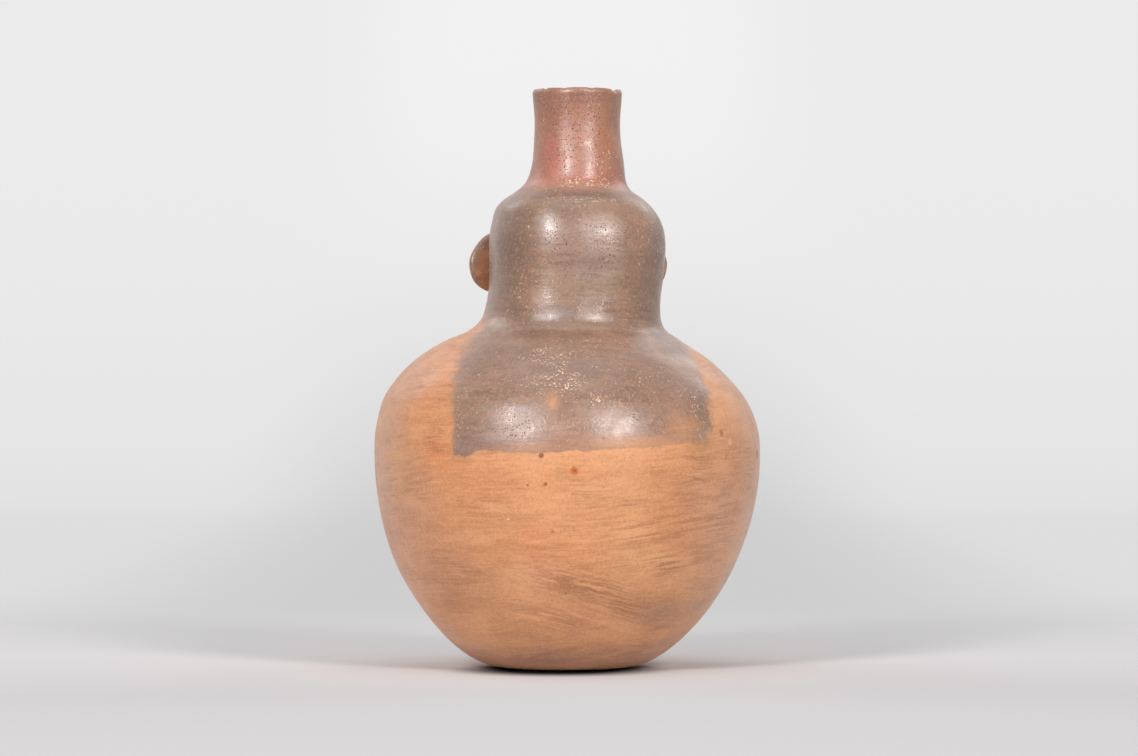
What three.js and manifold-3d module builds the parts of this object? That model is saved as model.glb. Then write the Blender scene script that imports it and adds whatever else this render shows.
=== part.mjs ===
// A fired clay effigy jar, 280 mm tall, as the pieces that a potter forms and lutes together:
// a bowl, a shoulder, a head chamber of two moulded halves, a spout with its lip, the coils that
// seal the seams from inside, and the ears, eyes, brows, nose and lips applied to the face.
//
// Millimetres, +Z up. The origin is on the ground under the middle of the belly, the face looks
// along -Y, and the figure's left side is +X.
import * as THREE from 'three';
import { mergeVertices } from 'three/addons/utils/BufferGeometryUtils.js';
import Module from 'manifold-3d';

const wasm = await Module();
wasm.setup();

// Driving dimensions.
const HEIGHT = 280;
const FOOT_RADIUS = 26;
const FLOOR_THICKNESS = 7;
const BODY_WALL = 5;
const SPOUT_WALL = 4;
const SEAM_GAP = 0.3;
const COIL_GAP = 0.6;

// Heights of the seams, from the foot up.
const BODY_SEAM = 101;
const THROAT_SEAM = 165.5;
const CROWN_SEAM = 233.5;
const LIP_SEAM = 273;

// The outer wall, as [radius, height], from the edge of the foot to the edge of the lip.
const OUTER_WALL = [
  [FOOT_RADIUS, 0],
  [36.4, 1.6],
  [45.4, 5.4],
  [56.2, 13.6],
  [68.9, 28],
  [80.9, 47.4],
  [88.2, 66.8],
  [92.4, 86.2],
  [93.6, 101],
  [92.7, 115.4],
  [88.1, 129.9],
  [81.3, 139.6],
  [71.4, 149.4],
  [56.4, 159.1],
  [47.4, 163.9],
  [43.4, 168.8],
  [41.4, 177],
  [41.4, 190],
  [42, 203],
  [41.2, 212.5],
  [37.6, 222.2],
  [33.2, 227.1],
  [27.9, 231],
  [25.4, 233.8],
  [23.9, 236.8],
  [22.1, 246.5],
  [20.9, 258],
  [20.7, 266],
  [21.4, 275.7],
  [21.5, 278.2],
  [20.5, HEIGHT],
];

// The jar leans as a hand-built one does: [height, sideways shift of the wall's centre along X].
const LEAN = [
  [0, 1.6],
  [23, 1.1],
  [60, 0.6],
  [100, 0],
  [120, 0.6],
  [135, 1.9],
  [150, 2.7],
  [158, 2.8],
  [164, 0.6],
  [170, -1],
  [178, -2],
  [189, -3.3],
  [206, -3.8],
  [216, -3.4],
  [224, -2.1],
  [230, -2],
  [236, -3.3],
  [244, -4.2],
  [256, -3.8],
  [HEIGHT, -3.6],
];

// The head chamber is set back from the belly's middle, is deeper in front, and has square sides.
const HEAD_SETBACK = 6;
const FACE_DEPTH_RATIO = 1.13;
const HEAD_SQUARENESS = 2.35;
const EAR_OFFSET = 0.5;

// The facets of each turned piece.
const BODY_FACETS = 52;
const HEAD_FACETS = 72;
const SPOUT_FACETS = 36;
const FACE_ROWS = 30;
const NAPE_ROWS = 12;
const EAR_FACETS = 30;

// Heights of the face's features and half spacings of its paired ones.
const FACE = {
  brow: 207.4,
  browSpacing: 15.5,
  eye: 200,
  eyeSpacing: 16.5,
  noseWing: 189,
  mouth: 179.6,
  chin: 171,
};

// The ridge of the nose, as [height, lift off the skin], from its base up to the brow.
const NOSE_RIDGE = [
  [185, 0],
  [186.4, 5],
  [188.3, 9.4],
  [190.6, 10.2],
  [194.6, 7.2],
  [200, 3.8],
  [205, 2.2],
  [210, 0],
];

const CLAY = { buff: 0xdb9a6c, slip: 0x8a6a5a, red: 0xb06a55, cream: 0xdcc3a2 };

const smoothStep = THREE.MathUtils.smoothstep;

const bell = (x, centre, spread) => Math.exp(-(((x - centre) / spread) ** 2));

const wallCurve = new THREE.CatmullRomCurve3(
  OUTER_WALL.map(([radius, height]) => new THREE.Vector3(radius, 0, height)),
  false,
  'centripetal',
);
wallCurve.arcLengthDivisions = 600;

const leanCurve = new THREE.CatmullRomCurve3(
  LEAN.map(([height, shift]) => new THREE.Vector3(shift, 0, height)),
  false,
  'centripetal',
);

const ridgeCurve = new THREE.CatmullRomCurve3(
  NOSE_RIDGE.map(([height, lift]) => new THREE.Vector3(lift, 0, height)),
  false,
  'centripetal',
);

// The parameter of a rising curve at a given height, found by halving.
function parameterAtHeight(curve, height, read = 'getPoint') {
  let low = 0;
  let high = 1;
  for (let step = 0; step < 40; step++) {
    const middle = (low + high) / 2;
    if (curve[read](middle).z < height) low = middle;
    else high = middle;
  }
  return (low + high) / 2;
}

const leanTable = new Map();

function leanAt(height) {
  if (!leanTable.has(height)) {
    const clamped = THREE.MathUtils.clamp(height, 0, HEIGHT);
    leanTable.set(height, leanCurve.getPoint(parameterAtHeight(leanCurve, clamped)).x);
  }
  return leanTable.get(height);
}

// How far the head's square, deep cross-section applies at a height, from 0 outside it to 1 in it.
const headShare = (height) => smoothStep(height, 160, 178) * (1 - smoothStep(height, 225, 236));

// How far the head and spout stand behind the middle of the belly at a height.
const setbackAt = (height) => HEAD_SETBACK * smoothStep(height, 140, 180);

// The relief pressed into the face: sockets, brow ridge, cheeks, muzzle, chin and jaw, in mm.
function faceRelief(across, height) {
  const side = Math.abs(across);
  const sockets = -3.4 * bell(side, FACE.eyeSpacing, 9.5) * bell(height, FACE.eye + 0.5, 5.2);
  const ridge = 1.8 * bell(side, 12, 17) * bell(height, FACE.brow + 2, 4);
  const cheeks = 2.6 * bell(side, 24, 10) * bell(height, 190, 8);
  const muzzle = 3.4 * bell(side, 0, 15) * bell(height, 181.5, 8);
  const chin = 5.5 * bell(side, 0, 12) * bell(height, FACE.chin, 5);
  const jaw = 2.4 * bell(side, 22, 12) * bell(height, 174, 6);
  return sockets + ridge + cheeks + muzzle + chin + jaw;
}

// A point of the jar's wall from its turned radius, its height and its angle from +X towards +Y.
// relief is 1 on the outer skin, which carries the face, and 0 inside; lift stands off the skin.
function clayPoint(radius, height, angle, relief, lift = 0) {
  const across = Math.cos(angle);
  const back = Math.sin(angle);
  const share = headShare(height);
  const square = (Math.abs(across) ** HEAD_SQUARENESS + Math.abs(back) ** HEAD_SQUARENESS)
    ** (-1 / HEAD_SQUARENESS);
  const stretch = THREE.MathUtils.lerp(1, square, share);
  const depth = back < 0 ? THREE.MathUtils.lerp(1, FACE_DEPTH_RATIO, share) : 1;
  const front = smoothStep(-back, 0.05, 0.5);
  const pressed = relief * front * faceRelief(radius * stretch * across, height);
  const reach = radius + lift;
  return new THREE.Vector3(
    leanAt(height) + (reach * stretch + pressed) * across,
    setbackAt(height) + (reach * stretch * depth + pressed) * back,
    height,
  );
}

// Evenly spaced stations on the outer wall between two heights, each with its outward normal.
function wallStations(low, high, count) {
  const from = parameterAtHeight(wallCurve, low, 'getPointAt');
  const to = parameterAtHeight(wallCurve, high, 'getPointAt');
  return Array.from({ length: count }, (_, index) => {
    const along = THREE.MathUtils.lerp(from, to, index / (count - 1));
    const point = wallCurve.getPointAt(along);
    const tangent = wallCurve.getTangentAt(along);
    return { radius: point.x, height: point.z, outward: [tangent.z, -tangent.x] };
  });
}

// The inner face of a wall at a station.
const inside = ({ radius, height, outward }, wall) => ({
  radius: radius - wall * outward[0],
  height: height - wall * outward[1],
  relief: 0,
});

const outside = ({ radius, height }) => ({ radius, height, relief: 1 });

// A closed profile turned round the jar's leaning axis. Its points run up the outer face and down
// the inner one.
function turned(profile, facets, lift = 0) {
  const outline = profile.map(({ radius, height }) => new THREE.Vector2(radius, height));
  const lathe = new THREE.LatheGeometry(outline, facets);
  const position = lathe.getAttribute('position');
  for (let index = 0; index < position.count; index++) {
    const { radius, height, relief } = profile[index % profile.length];
    const angle = (Math.floor(index / profile.length) / facets) * 2 * Math.PI;
    const raised = radius > 0 ? lift : 0;
    position.setXYZ(index, ...clayPoint(radius, height, angle, relief, raised).toArray());
  }
  return lathe;
}

// A ring of wall between two seams.
function wallRing(low, high, wall, outerCount, innerCount) {
  const outer = wallStations(low, high, outerCount).map(outside);
  const inner = wallStations(low, high, innerCount).map((station) => inside(station, wall));
  return [...outer, ...inner.reverse(), outer[0]];
}

// A solid for cutting and joining, from a three.js geometry, and back.
function solidOf(geometry) {
  const bare = geometry.clone();
  bare.deleteAttribute('normal');
  bare.deleteAttribute('uv');
  const merged = mergeVertices(bare, 1e-3);
  return new wasm.Manifold(new wasm.Mesh({
    numProp: 3,
    vertProperties: new Float32Array(merged.getAttribute('position').array),
    triVerts: new Uint32Array(merged.index.array),
  }));
}

function geometryOf(solid) {
  const { vertProperties, triVerts } = solid.getMesh();
  const geometry = new THREE.BufferGeometry();
  geometry.setAttribute('position', new THREE.BufferAttribute(vertProperties, 3));
  geometry.setIndex(new THREE.BufferAttribute(triVerts, 1));
  geometry.computeVertexNormals();
  return geometry;
}

function lowerBowl() {
  const top = BODY_SEAM - SEAM_GAP / 2;
  const outer = wallStations(0, top, 14).map(outside);
  const inner = wallStations(FLOOR_THICKNESS + 2, top, 8)
    .map((station) => inside(station, BODY_WALL));
  return turned([
    { radius: 0, height: 0, relief: 0 },
    ...outer,
    ...inner.reverse(),
    { radius: FOOT_RADIUS, height: FLOOR_THICKNESS + 0.8, relief: 0 },
    { radius: 0, height: FLOOR_THICKNESS, relief: 0 },
  ], BODY_FACETS);
}

function shoulderShell() {
  const low = BODY_SEAM + SEAM_GAP / 2;
  const high = THROAT_SEAM - SEAM_GAP / 2;
  return turned(wallRing(low, high, BODY_WALL, 10, 7), BODY_FACETS);
}

// The head chamber, with more rows on the half that carries the face.
function headChamber(outerCount, innerCount) {
  const low = THROAT_SEAM + SEAM_GAP / 2;
  const high = CROWN_SEAM - SEAM_GAP / 2;
  return turned(wallRing(low, high, BODY_WALL, outerCount, innerCount), HEAD_FACETS);
}

// The space that the head fills, grown a little, to cut what is applied to the face and sides.
function headEnvelope() {
  const low = THROAT_SEAM + SEAM_GAP / 2;
  const high = CROWN_SEAM - SEAM_GAP / 2;
  const outer = wallStations(low, high, FACE_ROWS).map(outside);
  const bottom = { ...outer[0], radius: 0, relief: 0 };
  const top = { ...outer[outer.length - 1], radius: 0, relief: 0 };
  return turned([bottom, ...outer, top], HEAD_FACETS, SEAM_GAP);
}

// The back (1) or front (-1) half of the head, split by an upright plane through its sides.
function headHalf(facing, chamber) {
  const reach = 200;
  const block = new THREE.BoxGeometry(reach, reach, reach);
  const edge = HEAD_SETBACK + (facing * SEAM_GAP) / 2;
  block.translate(0, edge + (facing * reach) / 2, THROAT_SEAM + reach / 4);
  return geometryOf(solidOf(chamber).intersect(solidOf(block)));
}

function spout() {
  return turned(wallRing(CROWN_SEAM + SEAM_GAP / 2, LIP_SEAM - SEAM_GAP / 2, SPOUT_WALL, 9, 6),
    SPOUT_FACETS);
}

function lip() {
  const low = LIP_SEAM + SEAM_GAP / 2;
  const stations = wallStations(low, HEIGHT, 5);
  const bore = inside(stations[0], SPOUT_WALL);
  return turned([
    ...stations.map(outside),
    { radius: bore.radius + 1, height: HEIGHT, relief: 0 },
    { radius: bore.radius + 0.2, height: HEIGHT - 1, relief: 0 },
    bore,
    outside(stations[0]),
  ], SPOUT_FACETS);
}

// A coil pressed over a seam on the inside: a low dome across the seam, a gap away from the wall.
function seamCoil(seam, wall, halfWidth, thickness, facets) {
  const stations = wallStations(seam - halfWidth, seam + halfWidth, 4);
  const wallSide = stations.map((station) => inside(station, wall + COIL_GAP));
  const hollowSide = stations.slice(1, -1).map((station, index) => {
    const across = (index + 1) / (stations.length - 1);
    return inside(station, wall + COIL_GAP + thickness * Math.sin(across * Math.PI));
  });
  return turned([...wallSide, ...hollowSide.reverse(), wallSide[0]], facets);
}

const envelope = solidOf(headEnvelope());

// A point of the face at a distance across from its midline and a height, standing lift off it.
function facePoint(across, height, lift) {
  const station = wallCurve.getPoint(parameterAtHeight(wallCurve, height));
  let angle = -Math.PI / 2;
  for (let step = 0; step < 12; step++) {
    const point = clayPoint(station.x, height, angle, 1);
    angle += (across - (point.x - leanAt(height))) / (station.x * FACE_DEPTH_RATIO);
  }
  const skin = clayPoint(station.x, height, angle, 1);
  return new THREE.Vector3(skin.x, skin.y - lift, height);
}

// Clay applied to the face, cut to sit on the skin. A spindle of clay runs from pole to pole:
// outline(share, turn) gives [across, height] for a share from -1 to 1 along it and for a turn
// from -1 to 1 across it, and lift(across, height) is how far it stands off the skin there.
function applied(outline, lift, rows = 12, facets = 16) {
  const sunk = -2.2;
  const poles = Array.from({ length: rows + 1 }, (_, row) => -Math.cos((row / rows) * Math.PI));
  const profile = poles.map((share, row) => new THREE.Vector2(row % rows === 0 ? 0 : 1, share));
  const lathe = new THREE.LatheGeometry(profile, facets);
  const position = lathe.getAttribute('position');
  for (let index = 0; index < position.count; index++) {
    const share = poles[index % poles.length];
    const angle = (Math.floor(index / poles.length) / facets) * 2 * Math.PI;
    const onPole = index % poles.length % rows === 0;
    const [across, height] = outline(share, onPole ? 0 : Math.cos(angle));
    const proud = Math.sin(angle) > 1e-6 && !onPole;
    const point = facePoint(across, height, proud ? lift(across, height) : sunk);
    position.setXYZ(index, point.x, point.y, point.z);
  }
  if (solidOf(lathe).volume() < 0) flipFaces(lathe);
  return geometryOf(largestPiece(solidOf(lathe).subtract(envelope)));
}

const arch = (share, fullness = 0.5) => Math.max(1 - share ** 2, 0) ** fullness;

// The nose: a narrow bridge, a rounded tip and a wing on each side.
function noseLift(across, height) {
  const side = Math.abs(across);
  const clamped = THREE.MathUtils.clamp(height, NOSE_RIDGE[0][0], NOSE_RIDGE.at(-1)[0]);
  const ridge = ridgeCurve.getPoint(parameterAtHeight(ridgeCurve, clamped)).x;
  const breadth = THREE.MathUtils.lerp(5.4, 3.6, smoothStep(height, 190, 202));
  const wings = 5 * bell(side, 5.9, 2.5) * bell(height, FACE.noseWing, 2.9);
  return Math.max(ridge * Math.exp(-((side / breadth) ** 2.6)), wings) - 0.1;
}

function nose() {
  const low = NOSE_RIDGE[0][0];
  const high = NOSE_RIDGE.at(-1)[0];
  const halfWidthAt = (height) => 4.6 + 4.6 * bell(height, FACE.noseWing - 0.6, 5);
  const outline = (share, turn) => {
    const height = THREE.MathUtils.lerp(low, high, (share + 1) / 2);
    return [halfWidthAt(height) * turn, height];
  };
  return applied(outline, noseLift, 20, 20);
}

// An eye pellet: an almond with a raised middle.
function eye(side) {
  const halfWidth = 8;
  const halfHeight = 4;
  const middle = (across) => FACE.eye + 0.06 * (Math.abs(across) - FACE.eyeSpacing);
  const outline = (share, turn) => {
    const across = side * FACE.eyeSpacing + halfWidth * share;
    return [across, middle(across) + halfHeight * arch(share, 0.85) * turn];
  };
  const lift = (across, height) => {
    const share = (across - side * FACE.eyeSpacing) / halfWidth;
    const turn = (height - middle(across)) / (halfHeight * arch(share, 0.85) + 1e-6);
    return 3.6 * arch(share) * arch(turn);
  };
  return applied(outline, lift);
}

// A brow: a low arched roll above the eye.
function brow(side) {
  const halfWidth = 10.8;
  const middle = (share) => FACE.brow + 1.6 * (1 - share ** 2);
  const outline = (share, turn) => [
    side * (FACE.browSpacing + halfWidth * share),
    middle(share) + 1.6 * arch(share, 0.4) * turn,
  ];
  const lift = (across, height) => {
    const share = (side * across - FACE.browSpacing) / halfWidth;
    const turn = (height - middle(share)) / (1.6 * arch(share, 0.4) + 1e-6);
    return 2 * arch(share) * arch(turn);
  };
  return applied(outline, lift, 12, 12);
}

// A lip: the upper one (1) dips in the middle, and the lower one (-1) is a plain full roll.
function lipRoll(rising) {
  const halfWidth = 12.5;
  const halfHeight = rising > 0 ? 1.9 : 2.2;
  const middle = (share) => {
    const bow = rising > 0 ? -0.8 * bell(share, 0, 0.2) + 0.5 * bell(Math.abs(share), 0.3, 0.2) : 0;
    return FACE.mouth + rising * (0.25 + halfHeight - 1.5 * share ** 2) + bow;
  };
  const outline = (share, turn) => [
    halfWidth * share,
    middle(share) + halfHeight * arch(share, 0.6) * turn,
  ];
  const lift = (across, height) => {
    const share = across / halfWidth;
    const turn = (height - middle(share)) / (halfHeight * arch(share, 0.6) + 1e-6);
    return (rising > 0 ? 2.7 : 3.2) * arch(share, 0.6) * arch(turn);
  };
  return applied(outline, lift, 16, 12);
}

// An ear: a dished oval that stands out from the side of the head and leans back.
function ear(side) {
  const middle = new THREE.Vector3(38.1, -27.5, 195.4);
  const halfWidth = 11.6;
  const upperHalf = 13.4;
  const lowerHalf = 12.4;
  const thickness = 3.2;
  const sweep = THREE.MathUtils.degToRad(20);
  const shares = [0, 0.3, 0.55, 0.72, 0.86, 0.96, 1];
  const rim = (share) => 0.6 + 2.6 * bell(share, 0.84, 0.17);
  const backOfEar = (share) => -thickness * Math.sqrt(Math.max(1 - share ** 2.4, 0));
  const profile = [
    ...shares.map((share) => [share, backOfEar(share)]),
    ...shares.slice(0, -1).reverse().map((share) => [share, rim(share)]),
  ];
  const lathe = new THREE.LatheGeometry(
    profile.map(([share, depth]) => new THREE.Vector2(share, depth)),
    EAR_FACETS,
  );
  const position = lathe.getAttribute('position');
  for (let index = 0; index < position.count; index++) {
    const [share, depth] = profile[index % profile.length];
    const angle = (Math.floor(index / profile.length) / EAR_FACETS) * 2 * Math.PI;
    const out = share * halfWidth * Math.cos(angle);
    const up = share * (Math.sin(angle) > 0 ? upperHalf : lowerHalf) * Math.sin(angle);
    position.setXYZ(
      index,
      middle.x + out * Math.cos(sweep) + depth * Math.sin(sweep),
      middle.y + out * Math.sin(sweep) - depth * Math.cos(sweep),
      middle.z + up,
    );
  }
  lathe.scale(side, 1, 1);
  if (side < 0) flipFaces(lathe);
  lathe.translate(leanAt(middle.z) - EAR_OFFSET, HEAD_SETBACK, 0);
  return geometryOf(largestPiece(solidOf(lathe).subtract(envelope)));
}

// Turns every face of an indexed geometry round, after mirroring.
function flipFaces(geometry) {
  const { array } = geometry.index;
  for (let index = 0; index < array.length; index += 3) {
    [array[index + 1], array[index + 2]] = [array[index + 2], array[index + 1]];
  }
}

function largestPiece(solid) {
  return solid.decompose().reduce((kept, piece) => (piece.volume() > kept.volume() ? piece : kept));
}

const jar = new THREE.Group();

function place(name, geometry, color, roughness) {
  const material = new THREE.MeshStandardMaterial({ color, roughness, metalness: 0 });
  const mesh = new THREE.Mesh(geometry, material);
  mesh.name = name;
  jar.add(mesh);
}

place('lower_bowl', lowerBowl(), CLAY.buff, 0.5);
place('shoulder_shell', shoulderShell(), CLAY.buff, 0.5);
place('head_back', headHalf(1, headChamber(NAPE_ROWS, 7)), CLAY.slip, 0.45);
place('head_face', headHalf(-1, headChamber(FACE_ROWS, 7)), CLAY.buff, 0.5);
place('neck_spout', spout(), CLAY.red, 0.4);
place('spout_lip', lip(), CLAY.red, 0.45);
place('body_seam_coil', seamCoil(BODY_SEAM, BODY_WALL, 5, 3, BODY_FACETS), CLAY.buff, 0.8);
place('throat_seam_coil', seamCoil(THROAT_SEAM, BODY_WALL, 2.6, 2.4, BODY_FACETS), CLAY.buff, 0.8);
place('crown_seam_coil', seamCoil(CROWN_SEAM, BODY_WALL, 2.4, 2, SPOUT_FACETS), CLAY.buff, 0.8);
for (const [name, side] of [['left', 1], ['right', -1]]) {
  place(`ear_${name}`, ear(side), CLAY.slip, 0.5);
  place(`eye_${name}`, eye(side), CLAY.cream, 0.5);
  place(`brow_${name}`, brow(side), CLAY.slip, 0.5);
}
place('nose', nose(), CLAY.buff, 0.5);
place('upper_lip', lipRoll(1), CLAY.red, 0.5);
place('lower_lip', lipRoll(-1), CLAY.red, 0.5);

export default jar;
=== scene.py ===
"""Dressed model of a fired clay effigy jar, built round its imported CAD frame.

The jar stands 280 mm tall. Its classes hold millimetres, as a potter would measure the clay, and
every mesh is written in metres in the row frame: +Z up, the face towards -Y, the figure's left
side towards +X. A bearing is an angle in degrees from the jar's back (+Y) towards its left (+X).
"""

from __future__ import annotations

import logging
import math
from dataclasses import dataclass, field
from enum import Enum
from typing import Sequence

import bpy
import numpy as np
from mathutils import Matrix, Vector

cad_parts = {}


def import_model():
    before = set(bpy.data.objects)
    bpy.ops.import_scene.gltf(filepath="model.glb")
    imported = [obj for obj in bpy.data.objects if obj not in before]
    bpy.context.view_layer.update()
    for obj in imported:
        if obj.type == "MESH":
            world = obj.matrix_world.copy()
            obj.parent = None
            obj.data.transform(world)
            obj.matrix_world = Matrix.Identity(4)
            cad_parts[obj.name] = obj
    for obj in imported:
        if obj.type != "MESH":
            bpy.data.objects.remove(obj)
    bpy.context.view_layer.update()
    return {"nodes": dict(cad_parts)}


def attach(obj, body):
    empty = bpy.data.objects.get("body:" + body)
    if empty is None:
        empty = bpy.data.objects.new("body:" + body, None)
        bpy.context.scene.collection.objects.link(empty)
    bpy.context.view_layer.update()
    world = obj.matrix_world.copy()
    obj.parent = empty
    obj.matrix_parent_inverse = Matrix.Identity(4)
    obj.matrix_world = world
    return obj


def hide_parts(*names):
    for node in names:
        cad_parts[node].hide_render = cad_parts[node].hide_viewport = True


Array = np.ndarray
Colour = tuple[float, float, float]
Outline = tuple[tuple[float, float], ...]
Knots = tuple[tuple[float, float, float], ...]
Socket = bpy.types.NodeSocket
Inputs = dict[str | int, Socket | float | Sequence[float]]

LOG = logging.getLogger("effigy_jar")
MM = 0.001
SEED = 11
BODY = "root"

# The heights at which the turned pieces are luted together.
BELLY_SEAM = 101.0
THROAT_SEAM = 165.5
CROWN_SEAM = 233.5
LIP_SEAM = 273.0


def smooth_step(value: Array | float, low: float, high: float) -> Array:
    """Eases from 0 at low to 1 at high.

    Args:
        value: The values to ease.
        low: Where the step starts.
        high: Where the step ends.

    Returns:
        The eased values, from 0 to 1.
    """
    share = np.clip((np.asarray(value, float) - low) / (high - low), 0.0, 1.0)
    return share * share * (3.0 - 2.0 * share)


def bell(value: Array | float, centre: float, spread: float) -> Array:
    """A bell curve of height 1 round a centre.

    Args:
        value: The values to read it at.
        centre: Where it peaks.
        spread: The distance at which it has dropped to 1/e.

    Returns:
        The curve's values.
    """
    return np.exp(-(((np.asarray(value, float) - centre) / spread) ** 2))


def plateau(value: Array, start: float, full: float, fade: float, stop: float) -> Array:
    """Eases up to 1 between start and full, and back to 0 between fade and stop."""
    return smooth_step(value, start, full) * (1 - smooth_step(value, fade, stop))


def arch(share: Array | float, fullness: float = 0.5) -> Array:
    """A round arch over shares from -1 to 1.

    Args:
        share: The place along the arch.
        fullness: 0.5 for a half circle, more for a pointed one, less for a square one.

    Returns:
        The arch's height, from 0 to 1.
    """
    return np.maximum(1.0 - np.asarray(share, float) ** 2, 0.0) ** fullness


def through_points(points: Outline, steps: int = 160) -> Array:
    """A centripetal curve through points.

    Args:
        points: The points, in order.
        steps: The samples between two neighbouring points.

    Returns:
        The sampled curve, one point a row.
    """
    given = np.array(points, float)
    ends = (2 * given[0] - given[1], 2 * given[-1] - given[-2])
    held = np.vstack([ends[0], given, ends[1]])
    share = np.linspace(0.0, 1.0, steps, endpoint=False)[:, None]
    parts = []
    for index in range(len(given) - 1):
        before, start, stop, after = held[index : index + 4]
        gaps = [
            math.sqrt(float(np.linalg.norm(b - a)))
            for a, b in ((before, start), (start, stop), (stop, after))
        ]
        leave = (start - before) / gaps[0] - (stop - before) / (gaps[0] + gaps[1])
        leave = (leave + (stop - start) / gaps[1]) * gaps[1]
        arrive = (stop - start) / gaps[1] - (after - start) / (gaps[1] + gaps[2])
        arrive = (arrive + (after - stop) / gaps[2]) * gaps[1]
        parts.append(
            start
            + leave * share
            + (3 * (stop - start) - 2 * leave - arrive) * share**2
            + (2 * (start - stop) + leave + arrive) * share**3
        )
    return np.vstack([*parts, given[-1:]])


def srgb(red: float, green: float, blue: float) -> Colour:
    """A colour as the shader takes it.

    Args:
        red: Red as a screen shows it, from 0 to 255.
        green: Green, likewise.
        blue: Blue, likewise.

    Returns:
        The same colour in linear light, from 0 to 1.
    """
    shown = [part / 255.0 for part in (red, green, blue)]
    return tuple(c / 12.92 if c <= 0.04045 else ((c + 0.055) / 1.055) ** 2.4 for c in shown)


def even_turn(count: int) -> Array:
    """Even angles all round the jar, from +X towards +Y."""
    return np.linspace(0, 2 * math.pi, count, endpoint=False)


def angle_of(bearing: Array | float) -> Array:
    """The angle from +X towards +Y, in radians, of a bearing in degrees."""
    return np.radians(90.0 - np.asarray(bearing, float))


def bearings_apart(bearing: Array, centre: float) -> Array:
    """The shorter turn from a bearing to others, in degrees."""
    return (bearing - centre + 180.0) % 360.0 - 180.0


def points_of(mesh: bpy.types.Mesh) -> Array:
    """Reads a mesh's points.

    Args:
        mesh: The mesh.

    Returns:
        The points in millimetres, one a row.
    """
    points = np.empty(len(mesh.vertices) * 3, np.float32)
    mesh.vertices.foreach_get("co", points)
    return points.reshape(-1, 3) / MM


def note_values(mesh: bpy.types.Mesh, name: str, values: Array) -> None:
    """Stores one value a point under a name."""
    attribute = mesh.attributes.new(name, "FLOAT", "POINT")
    attribute.data.foreach_set("value", values.astype(np.float32).ravel())


def in_scene(name: str, data: bpy.types.ID) -> bpy.types.Object:
    """Makes an object of a mesh, lamp or camera and links it to the scene.

    Args:
        name: The object's name.
        data: What it shows.

    Returns:
        The object.
    """
    made = bpy.data.objects.new(name, data)
    bpy.context.scene.collection.objects.link(made)
    return made


# The jar's own form.


@dataclass(frozen=True)
class Press:
    """A soft push in or out of the face: its depth, place and half sizes in millimetres."""

    depth: float
    aside: float
    height: float
    half_width: float
    half_height: float

    def at(self, side: Array, height: Array) -> Array:
        """How far the skin moves outward at a distance from the midline and a height."""
        across = bell(side, self.aside, self.half_width)
        return self.depth * across * bell(height, self.height, self.half_height)


@dataclass(frozen=True)
class FaceForm:
    """The calm, even face pressed into the head: heights and spacings in millimetres."""

    brow: float = 207.4
    brow_spacing: float = 15.5
    eye: float = 200.0
    eye_spacing: float = 16.5
    mouth: float = 179.6
    sockets: Press = Press(-3.4, 16.5, 200.5, 9.5, 5.2)
    brow_ridge: Press = Press(1.8, 12, 209.4, 17, 4)
    cheeks: Press = Press(2.6, 24, 190, 10, 8)
    muzzle: Press = Press(3.4, 0, 181.5, 15, 8)
    chin: Press = Press(5.5, 0, 171, 12, 5)
    jaw: Press = Press(2.4, 22, 174, 12, 6)
    wings: Press = Press(5.0, 5.9, 189, 2.5, 2.9)
    nostrils: Press = Press(1.5, 3.4, 186.6, 1.2, 1.0)
    nose_ridge: Outline = (
        (0.0, 185.0), (5.0, 186.4), (9.4, 188.3), (10.2, 190.6), (7.2, 194.6), (3.8, 200.0),
        (2.2, 205.0), (0.0, 210.0),
    )
    nose_breadth: float = 5.4
    bridge_breadth: float = 3.6
    nose_blend: float = 0.9

    def relief(self, across: Array, height: Array) -> Array:
        """The clay pressed in or out round the features.

        Args:
            across: Distance from the face's midline.
            height: Height above the ground.

        Returns:
            How far the skin moves outward.
        """
        side = np.abs(across)
        pushes = (
            self.sockets, self.brow_ridge, self.cheeks, self.muzzle, self.chin, self.jaw
        )
        return sum(push.at(side, height) for push in pushes)

    def nose(self, across: Array, height: Array) -> Array:
        """The nose: a narrow bridge, a rounded tip, two wings and shallow nostrils.

        Args:
            across: Distance from the face's midline.
            height: Height above the ground.

        Returns:
            How far it stands in front of the skin.
        """
        side = np.abs(across)
        curve = through_points(self.nose_ridge, 24)
        ridge = np.interp(height, curve[:, 1], curve[:, 0], left=0.0, right=0.0)
        narrowing = self.nose_breadth - self.bridge_breadth
        breadth = self.nose_breadth - narrowing * smooth_step(height, 190, 202)
        body = ridge * np.exp(-((side / breadth) ** 2.6))
        soft = self.nose_blend
        either = np.logaddexp(body / soft, self.wings.at(side, height) / soft)
        blended = soft * either - soft * math.log(2.0)
        return np.maximum(blended - self.nostrils.at(side, height), 0.0)


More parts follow.
